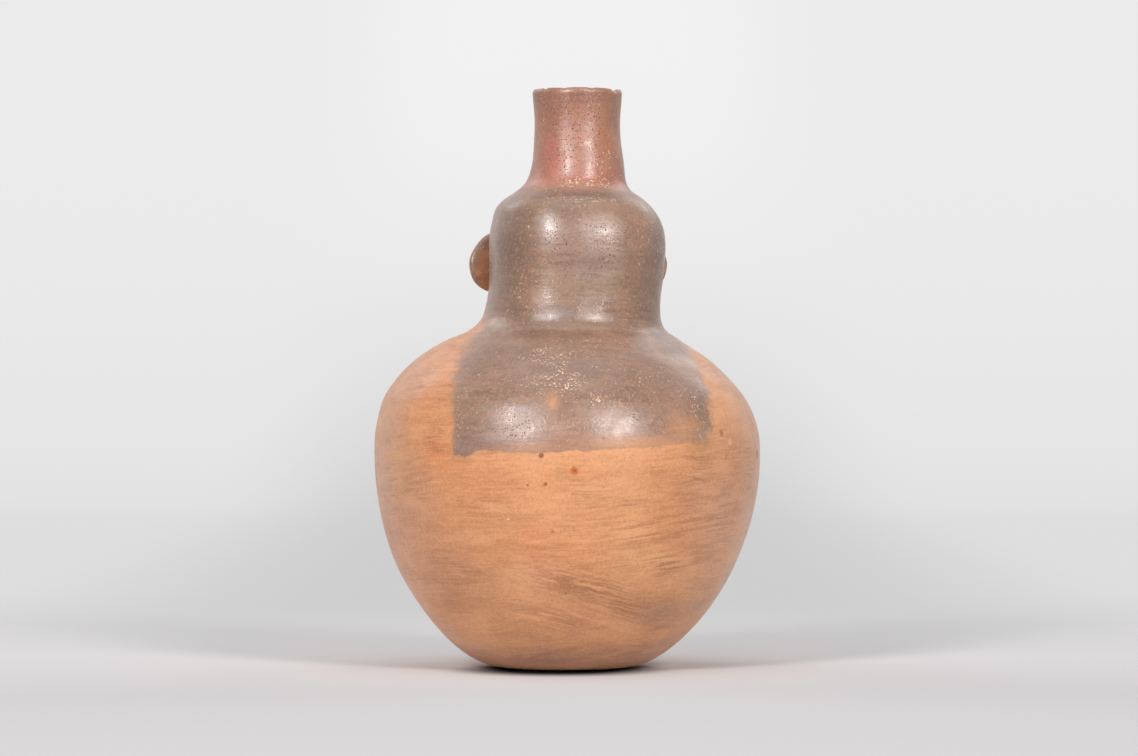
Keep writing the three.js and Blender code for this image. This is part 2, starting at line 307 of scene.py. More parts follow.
@dataclass
class JarWall:
    """The jar's outer wall: its turned outline, lean, square head and hand-made waves."""

    outline: Outline = (
        (26, 0), (36.4, 1.6), (45.4, 5.4), (56.2, 13.6), (68.9, 28), (80.9, 47.4), (88.2, 66.8),
        (92.4, 86.2), (93.6, 101), (92.7, 115.4), (88.1, 129.9), (81.3, 139.6), (71.4, 149.4),
        (56.4, 159.1), (47.4, 163.9), (43.4, 168.8), (41.4, 177), (41.4, 190), (42, 203),
        (41.2, 212.5), (37.6, 222.2), (33.2, 227.1), (27.9, 231), (25.4, 233.8), (23.9, 236.8),
        (22.1, 246.5), (20.9, 258), (20.7, 266), (21.4, 275.7), (21.5, 278.2), (20.5, 280),
    )
    lean: Outline = (
        (1.6, 0), (1.1, 23), (0.6, 60), (0, 100), (0.6, 120), (1.9, 135), (2.7, 150), (2.8, 158),
        (0.6, 164), (-1, 170), (-2, 178), (-3.3, 189), (-3.8, 206), (-3.4, 216), (-2.1, 224),
        (-2, 230), (-3.3, 236), (-4.2, 244), (-3.8, 256), (-3.6, 280),
    )
    head_setback: float = 6.0
    setback_heights: tuple[float, float] = (140, 180)
    head_heights: tuple[float, float, float, float] = (160, 178, 225, 236)
    face_depth: float = 1.13
    face_from: tuple[float, float] = (0.05, 0.5)
    nose_from: tuple[float, float] = (0.3, 0.6)
    squareness: float = 2.35
    waves: int = 9
    wave_depth: float = 0.2
    ear_root_bearing: float = 129.0
    ear_root_heights: tuple[float, float, float, float] = (181, 187, 204, 210)
    ear_root_depth: float = 1.1
    ear_root_spread: float = 3.6
    seek_steps: int = 14
    face: FaceForm = field(default_factory=FaceForm)

    def __post_init__(self) -> None:
        """Samples the outline by its length and draws the waves."""
        self._wall = through_points(self.outline)
        steps = np.linalg.norm(np.diff(self._wall, axis=0), axis=1)
        self._arc = np.concatenate([[0.0], np.cumsum(steps)])
        self._lean = through_points(self.lean)
        draw = np.random.default_rng(SEED)
        self._waves = [
            (int(draw.integers(2, 8)), draw.uniform(0.05, 0.16), *draw.uniform(0, 2 * math.pi, 2))
            for _ in range(self.waves)
        ]

    def arc_at(self, height: Array | float) -> Array:
        """The length along the outline at a height."""
        return np.interp(height, self._wall[:, 1], self._arc)

    def height_at(self, arc: Array | float) -> Array:
        """The height at a length along the outline."""
        return np.interp(arc, self._arc, self._wall[:, 1])

    def radius_at(self, arc: Array | float) -> Array:
        """The turned radius at a length along the outline."""
        return np.interp(arc, self._arc, self._wall[:, 0])

    def lean_at(self, height: Array | float) -> Array:
        """The wall's sideways shift at a height."""
        return np.interp(height, self._lean[:, 1], self._lean[:, 0])

    def setback_at(self, height: Array | float) -> Array:
        """How far the wall's middle stands behind the belly's at a height."""
        return self.head_setback * smooth_step(height, *self.setback_heights)

    def outward_at(self, arc: Array) -> tuple[Array, Array]:
        """The outline's outward direction.

        Args:
            arc: Length along the outline.

        Returns:
            The direction's sideways and upward parts.
        """
        step = 0.3
        rise = self.height_at(arc + step) - self.height_at(arc - step)
        run = self.radius_at(arc + step) - self.radius_at(arc - step)
        size = np.maximum(np.hypot(rise, run), 1e-9)
        return rise / size, -run / size

    def hand_wave(self, angle: Array, arc: Array) -> Array:
        """The slow unevenness that hands leave in the wall.

        Args:
            angle: Angle from +X towards +Y, in radians.
            arc: Length along the outline.

        Returns:
            How far the wall stands out.
        """
        total = 0.0
        for turns, rate, turn_phase, rise_phase in self._waves:
            total = total + np.sin(turns * angle + turn_phase) * np.sin(rate * arc + rise_phase)
        return self.wave_depth * total / 3.0

    def ear_root(self, angle: Array, height: Array, radius: Array) -> Array:
        """The clay smeared round the foot of each ear.

        Args:
            angle: Angle from +X towards +Y, in radians.
            height: Height above the ground.
            radius: The wall's radius there.

        Returns:
            How far it stands out.
        """
        total = 0.0
        for bearing in (self.ear_root_bearing, -self.ear_root_bearing):
            apart = (angle - angle_of(bearing) + math.pi) % (2 * math.pi) - math.pi
            total = total + bell(apart * radius, 0.0, self.ear_root_spread)
        return self.ear_root_depth * total * plateau(height, *self.ear_root_heights)

    def skin(self, angle: Array, arc: Array, inset: float = 0.0, relief: float = 1.0) -> Array:
        """Points of the wall.

        Args:
            angle: Angles from +X towards +Y, in radians.
            arc: Lengths along the outline.
            inset: Depth under the outer face.
            relief: 1 on the outer face, which carries the features, and 0 inside.

        Returns:
            The points, with x, y and z on the last axis.
        """
        angle, arc = np.broadcast_arrays(np.asarray(angle, float), np.asarray(arc, float))
        side, up = self.outward_at(arc)
        radius = self.radius_at(arc) - inset * side
        height = self.height_at(arc) - inset * up
        across, back = np.cos(angle), np.sin(angle)
        share = plateau(height, *self.head_heights)
        power = self.squareness
        square = (np.abs(across) ** power + np.abs(back) ** power) ** (-1 / power)
        stretch = 1 + (square - 1) * share
        depth = np.where(back < 0, 1 + (self.face_depth - 1) * share, 1.0)
        front = smooth_step(-back, *self.face_from)
        pressed = front * self.face.relief(radius * stretch * across, height)
        pressed = pressed + self.ear_root(angle, height, radius)
        pressed = relief * (pressed + self.hand_wave(angle, arc))
        x = self.lean_at(height) + (radius * stretch + pressed) * across
        y = self.setback_at(height) + (radius * stretch * depth + pressed) * back
        nose = self.face.nose(x - self.lean_at(height), height)
        y = y - relief * nose * smooth_step(-back, *self.nose_from)
        return np.stack([x, y, height], axis=-1)

    def normals(self, angle: Array, arc: Array) -> Array:
        """Outward directions of the outer face, from its slopes.

        Args:
            angle: Angles from +X towards +Y, in radians.
            arc: Lengths along the outline.

        Returns:
            Unit vectors, with x, y and z on the last axis.
        """
        turn, rise = 0.003, 0.2
        along = self.skin(angle + turn, arc) - self.skin(angle - turn, arc)
        upward = self.skin(angle, arc + rise) - self.skin(angle, arc - rise)
        outward = np.cross(along, upward)
        return outward / np.maximum(np.linalg.norm(outward, axis=-1, keepdims=True), 1e-12)

    def on_face(self, across: Array, height: Array, lift: Array | float) -> Array:
        """Points of the face, seen from straight in front.

        Args:
            across: Distance from the face's midline.
            height: Height above the ground.
            lift: How far the points stand in front of the skin.

        Returns:
            The points, with x, y and z on the last axis.
        """
        arc = self.arc_at(height)
        angle = np.full(np.shape(across), -math.pi / 2)
        for _ in range(self.seek_steps):
            found = self.skin(angle, arc)
            miss = across - (found[..., 0] - self.lean_at(height))
            angle = angle + miss / (self.radius_at(arc) * self.face_depth)
        found = self.skin(angle, arc)
        found[..., 1] -= lift
        return found

    def point(self, bearing: float, height: float) -> Array:
        """The point of the outer face at a bearing and a height."""
        return self.skin(angle_of(bearing), self.arc_at(height))


class Part(Enum):
    """The two kinds of surface that a piece of wall has."""

    OUTSIDE = 0
    INSIDE = 1


@dataclass
class MeshDraft:
    """The points, faces and corner normals of one closed piece, gathered in millimetres."""

    points: list[Array] = field(default_factory=list)
    normals: list[Array] = field(default_factory=list)
    faces: list[Array] = field(default_factory=list)
    kinds: list[tuple[int, bool]] = field(default_factory=list)
    count: int = 0

    def add(self, points: Array, normals: Array | None = None) -> Array:
        """Adds points.

        Args:
            points: The points, with x, y and z on the last axis.
            normals: Their directions, or None to take them from the faces.

        Returns:
            The points' numbers, in the shape of the points.
        """
        shape = points.shape[:-1]
        flat = points.reshape(-1, 3)
        given = np.full_like(flat, np.nan) if normals is None else normals.reshape(-1, 3)
        self.points.append(flat)
        self.normals.append(given)
        numbers = np.arange(self.count, self.count + len(flat)).reshape(shape)
        self.count += len(flat)
        return numbers

    def quads(self, rows: Array, closed: bool, part: Part, flat: bool = False) -> None:
        """Joins a grid of points with faces that look outward for rows that rise.

        Args:
            rows: The points' numbers, one row a ring, each ring turning from +X towards +Y.
            closed: Whether each ring closes on itself.
            part: The kind of surface.
            flat: Whether the faces are shaded flat.
        """
        across = np.concatenate([rows, rows[:, :1]], axis=1) if closed else rows
        a, b = across[:-1, :-1], across[:-1, 1:]
        c, d = across[1:, 1:], across[1:, :-1]
        self.faces.append(np.stack([a, b, c, d], axis=-1).reshape(-1, 4))
        self.kinds.append((part.value, flat))

    def fan(self, ring: Array, centre: int, part: Part, upward: bool) -> None:
        """Closes a ring with triangles to a middle point.

        Args:
            ring: The ring's numbers, turning from +X towards +Y.
            centre: The middle point's number.
            part: The kind of surface.
            upward: Whether the faces look up.
        """
        following = np.roll(ring, -1)
        middle = np.full_like(ring, centre)
        order = (ring, following, middle) if upward else (following, ring, middle)
        self.faces.append(np.stack(order, axis=-1))
        self.kinds.append((part.value, False))

    def lace(self, left: Array, right: Array, part: Part) -> None:
        """Fills the strip between two open edges of different lengths with flat triangles.

        Args:
            left: Numbers along the edge on the left of the faces' upward direction.
            right: Numbers along the other edge, in the same direction.
            part: The kind of surface.
        """
        edges = (left, right)
        steps = [(n / (len(e) - 1), k) for k, e in enumerate(edges) for n in range(1, len(e))]
        faces, reached = [], [0, 0]
        for _, moved in sorted(steps):
            corners = (left[reached[0]], right[reached[1]])
            reached[moved] += 1
            faces.append((*corners, edges[moved][reached[moved]]))
        self.faces.append(np.array(faces))
        self.kinds.append((part.value, True))

    def build(self, name: str) -> bpy.types.Object:
        """Makes the object.

        Args:
            name: The piece's name.

        Returns:
            The new object, linked to the scene.
        """
        points = np.concatenate(self.points) * MM
        given = np.concatenate(self.normals)
        loops = np.concatenate([faces.reshape(-1) for faces in self.faces])
        sizes = np.concatenate([np.full(len(faces), faces.shape[1]) for faces in self.faces])
        starts = np.concatenate([[0], np.cumsum(sizes)[:-1]])
        mesh = bpy.data.meshes.new(name)
        mesh.vertices.add(len(points))
        mesh.vertices.foreach_set("co", points.astype(np.float32).ravel())
        mesh.loops.add(len(loops))
        mesh.loops.foreach_set("vertex_index", loops.astype(np.int32))
        mesh.polygons.add(len(sizes))
        mesh.polygons.foreach_set("loop_start", starts.astype(np.int32))
        counts = [len(faces) for faces in self.faces]
        parts, flats = np.repeat(np.array(self.kinds, np.int32), counts, axis=0).T
        mesh.polygons.foreach_set("material_index", parts.copy())
        mesh.update(calc_edges=True)
        mesh.polygons.foreach_set("use_smooth", np.ones(len(sizes), bool))
        smooth = np.empty(len(points) * 3, np.float32)
        mesh.vertices.foreach_get("normal", smooth)
        smooth = smooth.reshape(-1, 3)
        known = ~np.isnan(given[:, 0])
        smooth[known] = given[known]
        corners = smooth[loops]
        faces = np.empty(len(sizes) * 3, np.float32)
        mesh.polygons.foreach_get("normal", faces)
        flat_corner = np.repeat(flats == 1, sizes)
        corners[flat_corner] = np.repeat(faces.reshape(-1, 3), sizes, axis=0)[flat_corner]
        mesh.normals_split_custom_set(corners.tolist())
        return in_scene(name, mesh)


# What is painted where.


class Tint(Enum):
    """The uneven colours and marks of the fired surface, each an attribute of the mesh."""

    # The painted edge sheen tint is painted light, and the pink, grey and rose tints also paint
    # reflections and highlights in places.
    BROWN = "brown_strokes"
    HATCH = "falling_strokes"
    RISING = "rising_strokes"
    TAN = "tan_clay"
    PINK = "pink_clay"
    ORANGE = "orange_clay"
    GREY = "grey_bloom"
    PAINTED_EDGE_SHEEN = "chalky_bloom"
    FLECK = "worn_flecks"
    THIN = "patchy_slip"
    SHEER = "sheer_slip"
    ROSE = "rose_slip"
    DEEP = "deep_slip"
    RED = "bright_red"
    PIT = "open_pits"


@dataclass(frozen=True)
class Blotch:
    """A soft patch of a tint on the wall: its middle, half sizes in mm, strength and tilt."""

    bearing: float
    height: float
    half_width: float
    half_height: float
    strength: float = 1.0
    tilt: float = 0.0


def patches(*places: tuple[float, ...]) -> tuple[Blotch, ...]:
    """Patches of one tint, each given by its values."""
    return tuple(Blotch(*place) for place in places)


# The belly reaches up to 165 mm, the hair covers it from 104 mm, and the spout starts at 232 mm.
BLOTCHES: dict[Tint, tuple[Blotch, ...]] = {
    Tint.BROWN: patches(
        (-32, 103, 9, 14, 1.5), (-46, 90, 16, 16, 0.5), (56, 126, 17, 20, 1.3),
        (-8, 81, 26, 5, 0.7), (-12, 74, 46, 18, 0.4), (24, 75, 17, 5, 0.8),
        (34, 84, 20, 8, 0.4), (40, 34, 20, 16, 0.5), (36, 10, 24, 5, 0.5),
        (-40, 10, 20, 6, 0.5), (-32, 28, 12, 8, 0.9),
    ),
    Tint.HATCH: patches(
        (5, 43, 22, 8, 1.2, -14), (-10, 33, 20, 7, 1, -16), (12, 27, 22, 7, 0.8, -16),
    ),
    Tint.RISING: patches(
        (-18, 70, 34, 10, 0.9, 5), (-27, 54, 24, 6, 1.2, 7), (-40, 76, 18, 20, 0.8, 8),
        (2, 56, 18, 5, 0.6, 5),
    ),
    Tint.TAN: patches(
        (46, 43, 24, 17, 0.9), (26, 20, 34, 12, 0.7), (62, 70, 18, 26, 0.35),
        (-6, 37, 33, 10, 0.85), (51, 123, 13, 16, 1.3), (64, 100, 13, 16, 0.6),
        (66, 140, 12, 11, 0.45), (20, 94, 24, 8, 0.5), (-8, 93, 30, 8, 0.4),
        (-32, 106, 8, 12, 1.3), (36, 27, 14, 9, 0.9), (0, 12, 60, 11, 0.6),
        (-40, 62, 20, 22, 0.35), (-32, 28, 12, 9, 0.8), (-30, 51, 16, 4, 0.8, 6),
        (40, 118, 9, 16, 0.9), (58, 200, 12, 22, 0.8), (0, 225, 40, 5, 0.7),
        (0, 186, 30, 12, 1), (-30, 257, 5, 16, 1), (46, 268, 5, 6, 0.7),
    ),
    # Pink clay in patches, and painted reflection: the tall bands at bearings 86 and -68 and the
    # patch at 68 pale the belly's two sides as a grazing sheen would.
    Tint.PINK: patches(
        (21, 51, 11, 12, 0.5), (68, 76, 24, 34, 0.6), (86, 100, 28, 66, 1),
        (60, 52, 26, 20, 0.5), (8, 7, 60, 10, 0.8), (-30, 87, 12, 10, 0.5),
        (-44, 66, 14, 24, 0.4), (-68, 95, 28, 66, 1), (62, 150, 24, 12, 0.55),
        (68, 138, 16, 14, 0.9), (-60, 140, 24, 14, 0.55),
    ),
    Tint.ORANGE: patches(
        (52, 108, 13, 12, 0.65), (56, 126, 13, 14, 0.45), (24, 95, 26, 9, 0.35),
        (8, 62, 20, 10, 0.25), (20, 60, 10, 12, 0.45),
    ),
    # Grey smudges and streaks; the patch at bearing 5, 196 mm on the back of the head and the one
    # at 22, 171 mm on the throat are painted highlights.
    Tint.GREY: patches(
        (-49, 34, 12, 8, 0.95), (-30, 29, 15, 8, 1), (24, 8, 50, 8, 0.5),
        (-48, 12, 16, 8, 0.5), (28, 76, 12, 5, 0.28), (-46, 84, 14, 12, 0.18),
        (43, 109, 7, 4, 0.35), (5, 196, 14, 13, 0.5), (22, 171, 9, 4, 0.8),
        (34, 112, 10, 3, 0.5), (-33, 113, 5, 4, 0.6),
    ),
    # Painted edge light: a pale sheen on the belly's two sides, standing in for the pale room
    # reflected at a grazing angle.
    Tint.PAINTED_EDGE_SHEEN: patches(
        (-70, 86, 26, 52, 0.78), (-44, 76, 16, 24, 0.32), (84, 98, 18, 30, 0.45),
    ),
    Tint.FLECK: patches(
        (15, 151, 17, 9, 1.3), (11, 139, 14, 10, 1.5), (3, 131, 10, 6, 1.1),
        (-18, 140, 16, 10, 0.6), (22, 141, 22, 10, 0.45), (-8, 157, 30, 7, 0.45),
        (-33, 128, 8, 18, 1), (45, 124, 4, 18, 0.5), (4, 226, 22, 5, 1),
        (-42, 208, 10, 16, 0.8), (40, 175, 16, 10, 0.6), (0, 174, 26, 6, 0.6),
        (-2, 234, 24, 4.4, 1.65), (-16, 246, 16, 8, 0.7), (10, 262, 20, 12, 0.45),
    ),
    Tint.THIN: patches(
        (33, 134, 16, 10, 0.5), (2, 119, 22, 8, 0.35), (-24, 116, 14, 9, 0.62),
        (-31, 126, 6, 10, 0.5), (-12, 131, 22, 7, 0.3), (-28, 142, 14, 9, 0.3),
        (60, 198, 10, 12, 0.4), (0, 184, 20, 9, 0.25), (50, 190, 6, 9, 0.6),
        (0, 278, 60, 1.6, 0.8), (0, 252, 14, 14, 0.4),
    ),
    Tint.SHEER: patches(
        (14.5, 129.5, 2.6, 5, 1), (-12, 110, 36, 4, 0.75), (20, 108, 20, 2.5, 0.5),
        (-27, 116, 12, 8, 0.85), (58, 152, 10, 8, 0.5),
    ),
    # Rose slip; the patch at bearing 6, 197 mm on the back of the head is a painted sheen.
    Tint.ROSE: patches(
        (12, 111, 60, 6, 0.75), (-20, 124, 22, 18, 0.3), (6, 197, 14, 12, 0.5),
        (0, 229, 60, 5, 0.8), (75, 164, 14, 6, 0.7), (-75, 164, 14, 6, 0.7),
    ),
    Tint.DEEP: patches(
        (-37, 120, 3.2, 13, 0.85), (30, 150, 24, 9, 0.5), (20, 127, 26, 6, 0.6),
        (-10, 134, 30, 9, 0.6), (30, 138, 20, 10, 0.4), (-34, 121, 9, 13, 1),
        (8, 144, 30, 10, 0.7), (-22, 140, 14, 14, 0.5), (0, 228, 50, 5, 0.9),
        (11, 276, 60, 4, 0.8), (42, 112, 5, 8, 0.5), (58, 203, 15, 22, 1),
        (-62, 200, 17, 26, 1), (5, 170, 34, 4, 0.4), (50, 268, 9, 10, 0.8),
        (-48, 270, 8, 8, 0.5),
    ),
    Tint.RED: patches(
        (48, 247, 6, 12, 0.9), (8, 237, 34, 4, 0.65), (40, 243, 8, 8, 0.8),
        (40, 262, 7, 8, 0.3),
    ),
    Tint.PIT: patches(
        (26, 118, 14, 9, 1), (-18, 121, 16, 7, 0.6), (25, 208, 10, 11, 1.1),
        (-9, 205, 13, 12, 1.2), (24, 257, 8, 19, 1.3), (-10, 260, 7, 16, 1.3),
    ),
}


@dataclass
class HairSlip:
    """Where the dark slip of the hair lies: over the head and down the back.

    Each edge point is a bearing, a height and the softness of the edge there in mm. The edge runs
    from the left corner over the back to the right temple, and both temples' hairline is the same.
    """

    wall: JarWall
    right: Knots = (
        (45.6, 103.8, 1.6), (41.5, 103.3, 0.9), (37.5, 107, 0.8), (32.9, 106.4, 0.8),
        (25, 106, 0.8), (17.3, 105.9, 0.8), (9, 106.4, 0.8), (2.1, 106.7, 0.8),
        (-8.2, 107.9, 0.8), (-18, 109, 0.8), (-28, 109.8, 0.8), (-33.3, 111.2, 1.8),
        (-36, 116, 3), (-37.4, 122.2, 3.6), (-41.2, 130.3, 3.6), (-43.3, 138.7, 3.4),
        (-50.2, 149.8, 3.2), (-64.9, 157.3, 3.6), (-82, 163.5, 3.4), (-96, 170, 2),
    )
    brow_to_temple: Knots = (
        (180, 221.2, 0.5), (160, 220.6, 0.5), (142, 218.5, 0.6), (128, 213, 0.7), (118, 204, 0.8),
        (112, 192, 1), (106, 180, 1.4),
    )
    left: Knots = (
        (96, 171, 2), (84, 167.6, 3.4), (73.5, 166, 4), (67.9, 161.7, 4.4),
        (60.6, 156.8, 4.2), (50.6, 141.5, 3.4), (46.6, 122.3, 2.4), (46.2, 111, 2),
        (45.6, 103.8, 1.6),
    )
    wobbles: Knots = ((0.35, 0.9, 0.0), (0.25, 2.3, 1.0))
    degree_length: float = 0.8
    sample_step: float = 0.6
    block: int = 8000

    def edge_share(self, bearing: Array, height: Array, points: Array) -> Array:
        """The distance inside the slip's edge, in units of the edge's softness.

        Args:
            bearing: The points' bearings in degrees.
            height: Their heights.
            points: The points themselves, in millimetres.

        Returns:
            Positive inside the slip, negative outside.
        """
        samples, softness = self._samples()
        shares = []
        for start in range(0, len(points), self.block):
            here = points[start : start + self.block, None, :]
            apart = np.linalg.norm(here - samples[None, :, :], axis=-1)
            nearest = apart.argmin(axis=1)
            shares.append(apart[np.arange(len(apart)), nearest] / softness[nearest])
        share = np.concatenate(shares)
        return np.where(self._covers(bearing, height), share, -share)

    def _lines(self) -> tuple[Knots, Knots]:
        """The edge from the left corner round to the brow's middle, and from there back down."""
        mirrored = tuple((-bearing, height, soft) for bearing, height, soft in self.brow_to_temple)
        return self.right + mirrored[::-1], self.brow_to_temple + self.left

    def _samples(self) -> tuple[Array, Array]:
        """Lays close-set points along the edge.

        Returns:
            The points on the wall, and the edge's softness at each.
        """
        points, softness = [], []
        for line in self._lines():
            knots = np.array(line)
            for first, second in zip(knots[:-1], knots[1:]):
                across = (second[0] - first[0]) * self.degree_length
                span = math.hypot(across, second[1] - first[1])
                count = max(int(span / self.sample_step), 2)
                step = first + (second - first) * np.linspace(0, 1, count)[:, None]
                wobble = sum(d * np.sin(step[:, 0] * rate + p) for d, rate, p in self.wobbles)
                arc = self.wall.arc_at(step[:, 1] + wobble * np.minimum(step[:, 2], 1.0))
                points.append(self.wall.skin(angle_of(step[:, 0]), arc))
                softness.append(step[:, 2])
        return np.concatenate(points).astype(np.float32), np.concatenate(softness)

    def _covers(self, bearing: Array, height: Array) -> Array:
        """Whether the slip's outline goes round each point of the unrolled wall.

        Args:
            bearing: The points' bearings in degrees.
            height: Their heights.

        Returns:
            True inside the slip.
        """
        right, left = self._lines()
        over = ((-180.1, 221.2), (-180.1, 400.0), (180.1, 400.0), (180.1, 221.2))
        outline = [knot[:2] for knot in right] + [*over] + [knot[:2] for knot in left]
        inside = np.zeros(len(bearing), bool)
        for (x1, y1), (x2, y2) in zip(outline, outline[1:] + outline[:1]):
            if y1 == y2:
                continue
            crosses = (y1 > height) != (y2 > height)
            inside ^= crosses & (bearing < (x2 - x1) * (height - y1) / (y2 - y1) + x1)
        return inside


@dataclass
class Paint:
    """Writes onto a mesh where each slip, tint and mark lies."""

    wall: JarWall
    hair: HairSlip
    blotches: dict[Tint, tuple[Blotch, ...]] = field(default_factory=lambda: BLOTCHES)
    red_from: float = 231.6
    red_softness: float = 2.0
    red_wave: float = 0.5
    limit: float = 9.0

    def lay(
        self, piece: bpy.types.Object, hair: Array | float | None, red: Array | float | None
    ) -> None:
        """Writes the attributes of one piece.

        Args:
            piece: The piece, in place.
            hair: A fixed cover of hair slip from -9 to 9, or None to follow the outline.
            red: A fixed cover of red slip from -9 to 9, or None to follow the spout's foot.
        """
        points = points_of(piece.data)
        height = points[:, 2]
        sideways = points[:, 0] - self.wall.lean_at(height)
        backward = points[:, 1] - self.wall.setback_at(height)
        bearing = np.degrees(np.arctan2(sideways, backward))
        reach = np.hypot(sideways, backward)
        arc = self.wall.arc_at(height)
        if hair is None:
            hair = self.hair.edge_share(bearing, height, points)
        if red is None:
            wave = self.red_wave * np.sin(np.radians(bearing) * 3 + 0.6)
            red = (height - self.red_from - wave) / self.red_softness
        values = {"hair_slip": hair, "red_slip": red}
        for tint, blotches in self.blotches.items():
            shown = [self._blotch(blotch, bearing, reach, arc) for blotch in blotches]
            values[tint.value] = np.max(shown, axis=0)
        for name, value in values.items():
            whole = np.clip(value, -self.limit, self.limit) + np.zeros(len(points))
            note_values(piece.data, name, whole)

    def _blotch(self, blotch: Blotch, bearing: Array, reach: Array, arc: Array) -> Array:
        """How strongly a blotch shows at each point.

        Args:
            blotch: The patch.
            bearing: The points' bearings in degrees.
            reach: Their distances from the jar's axis.
            arc: Their lengths along the outline.

        Returns:
            Its strength, from 0 to 1.
        """
        along = -np.radians(bearings_apart(bearing, blotch.bearing)) * reach
        upward = arc - self.wall.arc_at(blotch.height)
        turn = math.radians(blotch.tilt)
        u = along * math.cos(turn) + upward * math.sin(turn)
        v = -along * math.sin(turn) + upward * math.cos(turn)
        spread = (u / blotch.half_width) ** 2 + (v / blotch.half_height) ** 2
        return blotch.strength * np.exp(-spread)


# Finishes.


class Wiring:
    """The nodes of a material or of the world, added one by one and joined as they are."""

    def __init__(self, tree: bpy.types.NodeTree) -> None:
        """Takes the node tree that the nodes go into."""
        self.tree = tree
        self.place: Socket | None = None

    def feed(self, target: Socket, value: Socket | float | Sequence[float]) -> None:
        """Links a socket to another, or sets its plain value.

        Args:
            target: The input socket.
            value: An output socket, a number or a colour.
        """
        if isinstance(value, bpy.types.NodeSocket):
            self.tree.links.new(value, target)
        elif isinstance(value, (int, float)):
            target.default_value = value
        else:
            target.default_value = (*value, 1.0) if len(target.default_value) == 4 else value

    def node(self, kind: str, inputs: Inputs, **settings: str) -> bpy.types.Node:
        """Adds a node.

        Args:
            kind: Its kind, without the leading word.
            inputs: What goes into its sockets, by name or number.
            **settings: Its settings, made before anything goes in.

        Returns:
            The node.
        """
        node = self.tree.nodes.new("ShaderNode" + kind)
        for name, value in settings.items():
            setattr(node, name, value)
        for socket, value in inputs.items():
            self.feed(node.inputs[socket], value)
        return node

    def attribute(self, name: str) -> Socket:
        """The value that a mesh holds under a name."""
        return self.node("Attribute", {}, attribute_name=name).outputs["Fac"]

    def seen_directly(self) -> Socket:
        """Tells what the camera sees, straight, mirrored or through glass, from the rest.

        Returns:
            1 where the camera sees a surface and 0 elsewhere.
        """
        path = self.node("LightPath", {}).outputs
        seen = self.sum("MAXIMUM", path["Is Camera Ray"], path["Is Glossy Ray"])
        return self.sum("MAXIMUM", seen, path["Is Transmission Ray"])

    def stretched(
        self, scale: Sequence[float], turn: float = 0.0, place: Socket | None = None
    ) -> Socket:
        """A place, stretched.

        Args:
            scale: The factor along x, y and z.
            turn: A turn about the y axis in degrees, before the stretch.
            place: The place, or None for the row frame.

        Returns:
            The stretched place.
        """
        inputs = {
            "Rotation": (0.0, math.radians(turn), 0.0),
            "Scale": tuple(1.0 / part for part in scale),
            "Vector": place or self.place,
        }
        return self.node("Mapping", inputs, vector_type="TEXTURE").outputs["Vector"]

    def noise(
        self, grain: float, detail: float = 3.0, rough: float = 0.55, place: Socket | None = None
    ) -> Socket:
        """Cloudy noise.

        Args:
            grain: The size of its patches in mm.
            detail: Its finer octaves.
            rough: How strong those are.
            place: Where it is read, or None for the row frame.

        Returns:
            A value round 0.5.
        """
        inputs = {
            "Scale": 1.0 / (grain * MM),
            "Detail": detail,
            "Roughness": rough,
            "Vector": place or self.place,
        }
        return self.node("TexNoise", inputs).outputs["Fac"]

    def ragged(self, grain: float, reach: float) -> Socket:
        """The place in the row frame, pushed about so that what is drawn there has ragged edges.

        Args:
            grain: The size of the pushes' patches in mm.
            reach: How far they push, in mm.

        Returns:
            The pushed place.
        """
        cloud = {"Scale": 1.0 / (grain * MM), "Detail": 2.0, "Vector": self.place}
        push = self.node("TexNoise", cloud).outputs["Color"]
        inputs = {0: push, 1: (2 * reach * MM,) * 3, 2: self.place}
        return self.node("VectorMath", inputs, operation="MULTIPLY_ADD").outputs["Vector"]

    def cells(self, grain: float, place: Socket | None = None) -> tuple[Socket, Socket]:
        """Scattered points.

        Args:
            grain: Their spacing in mm.
            place: Where they are read, or None for the row frame.

        Returns:
            The distance to the nearest in spacings, and a random number that is its own.
        """
        inputs = {"Scale": 1.0 / (grain * MM), "Vector": place or self.place}
        found = self.node("TexVoronoi", inputs).outputs
        split = self.node("SeparateColor", {"Color": found["Color"]})
        return found["Distance"], split.outputs["Red"]

    def span(
        self, value: Socket, low: float, high: float, bottom: float = 0.0, top: float = 1.0
    ) -> Socket:
        """Eases a value from one span to another.

        Args:
            value: The value.
            low: Where the span starts.
            high: Where it ends.
            bottom: What the start becomes.
            top: What the end becomes.

        Returns:
            The eased value.
        """
        inputs = {"Value": value, "From Min": low, "From Max": high, "To Min": bottom}
        inputs["To Max"] = top
        return self.node("MapRange", inputs, interpolation_type="SMOOTHSTEP").outputs["Result"]

    def sum(self, kind: str, first: Socket | float, second: Socket | float) -> Socket:
        """The sum, product or other arithmetic, by its name, of two values."""
        return self.node("Math", {0: first, 1: second}, operation=kind).outputs["Value"]

    def times(self, *values: Socket | float) -> Socket:
        """Multiplies values.

        Args:
            *values: The values.

        Returns:
            Their product.
        """
        total = values[0]
        for value in values[1:]:
            total = self.sum("MULTIPLY", total, value)
        return total

    def blend(self, share: Socket, under: Socket | Colour, over: Socket | Colour) -> Socket:
        """Lays one colour over another, by how much of the upper one shows."""
        return self.node("Mix", {0: share, 6: under, 7: over}, data_type="RGBA").outputs[2]

    def coats(self, under: Socket, *coats: tuple[Socket, float, float, float, Colour]) -> Socket:
        """Lays colours one after another, each where a value runs through a span.

        Args:
            under: The lowest colour.
            *coats: Each coat's value, the span's start and end, its most and its colour.

        Returns:
            The mixed colour.
        """
        for value, low, high, most, over in coats:
            under = self.blend(self.span(value, low, high, 0.0, most), under, over)
        return under

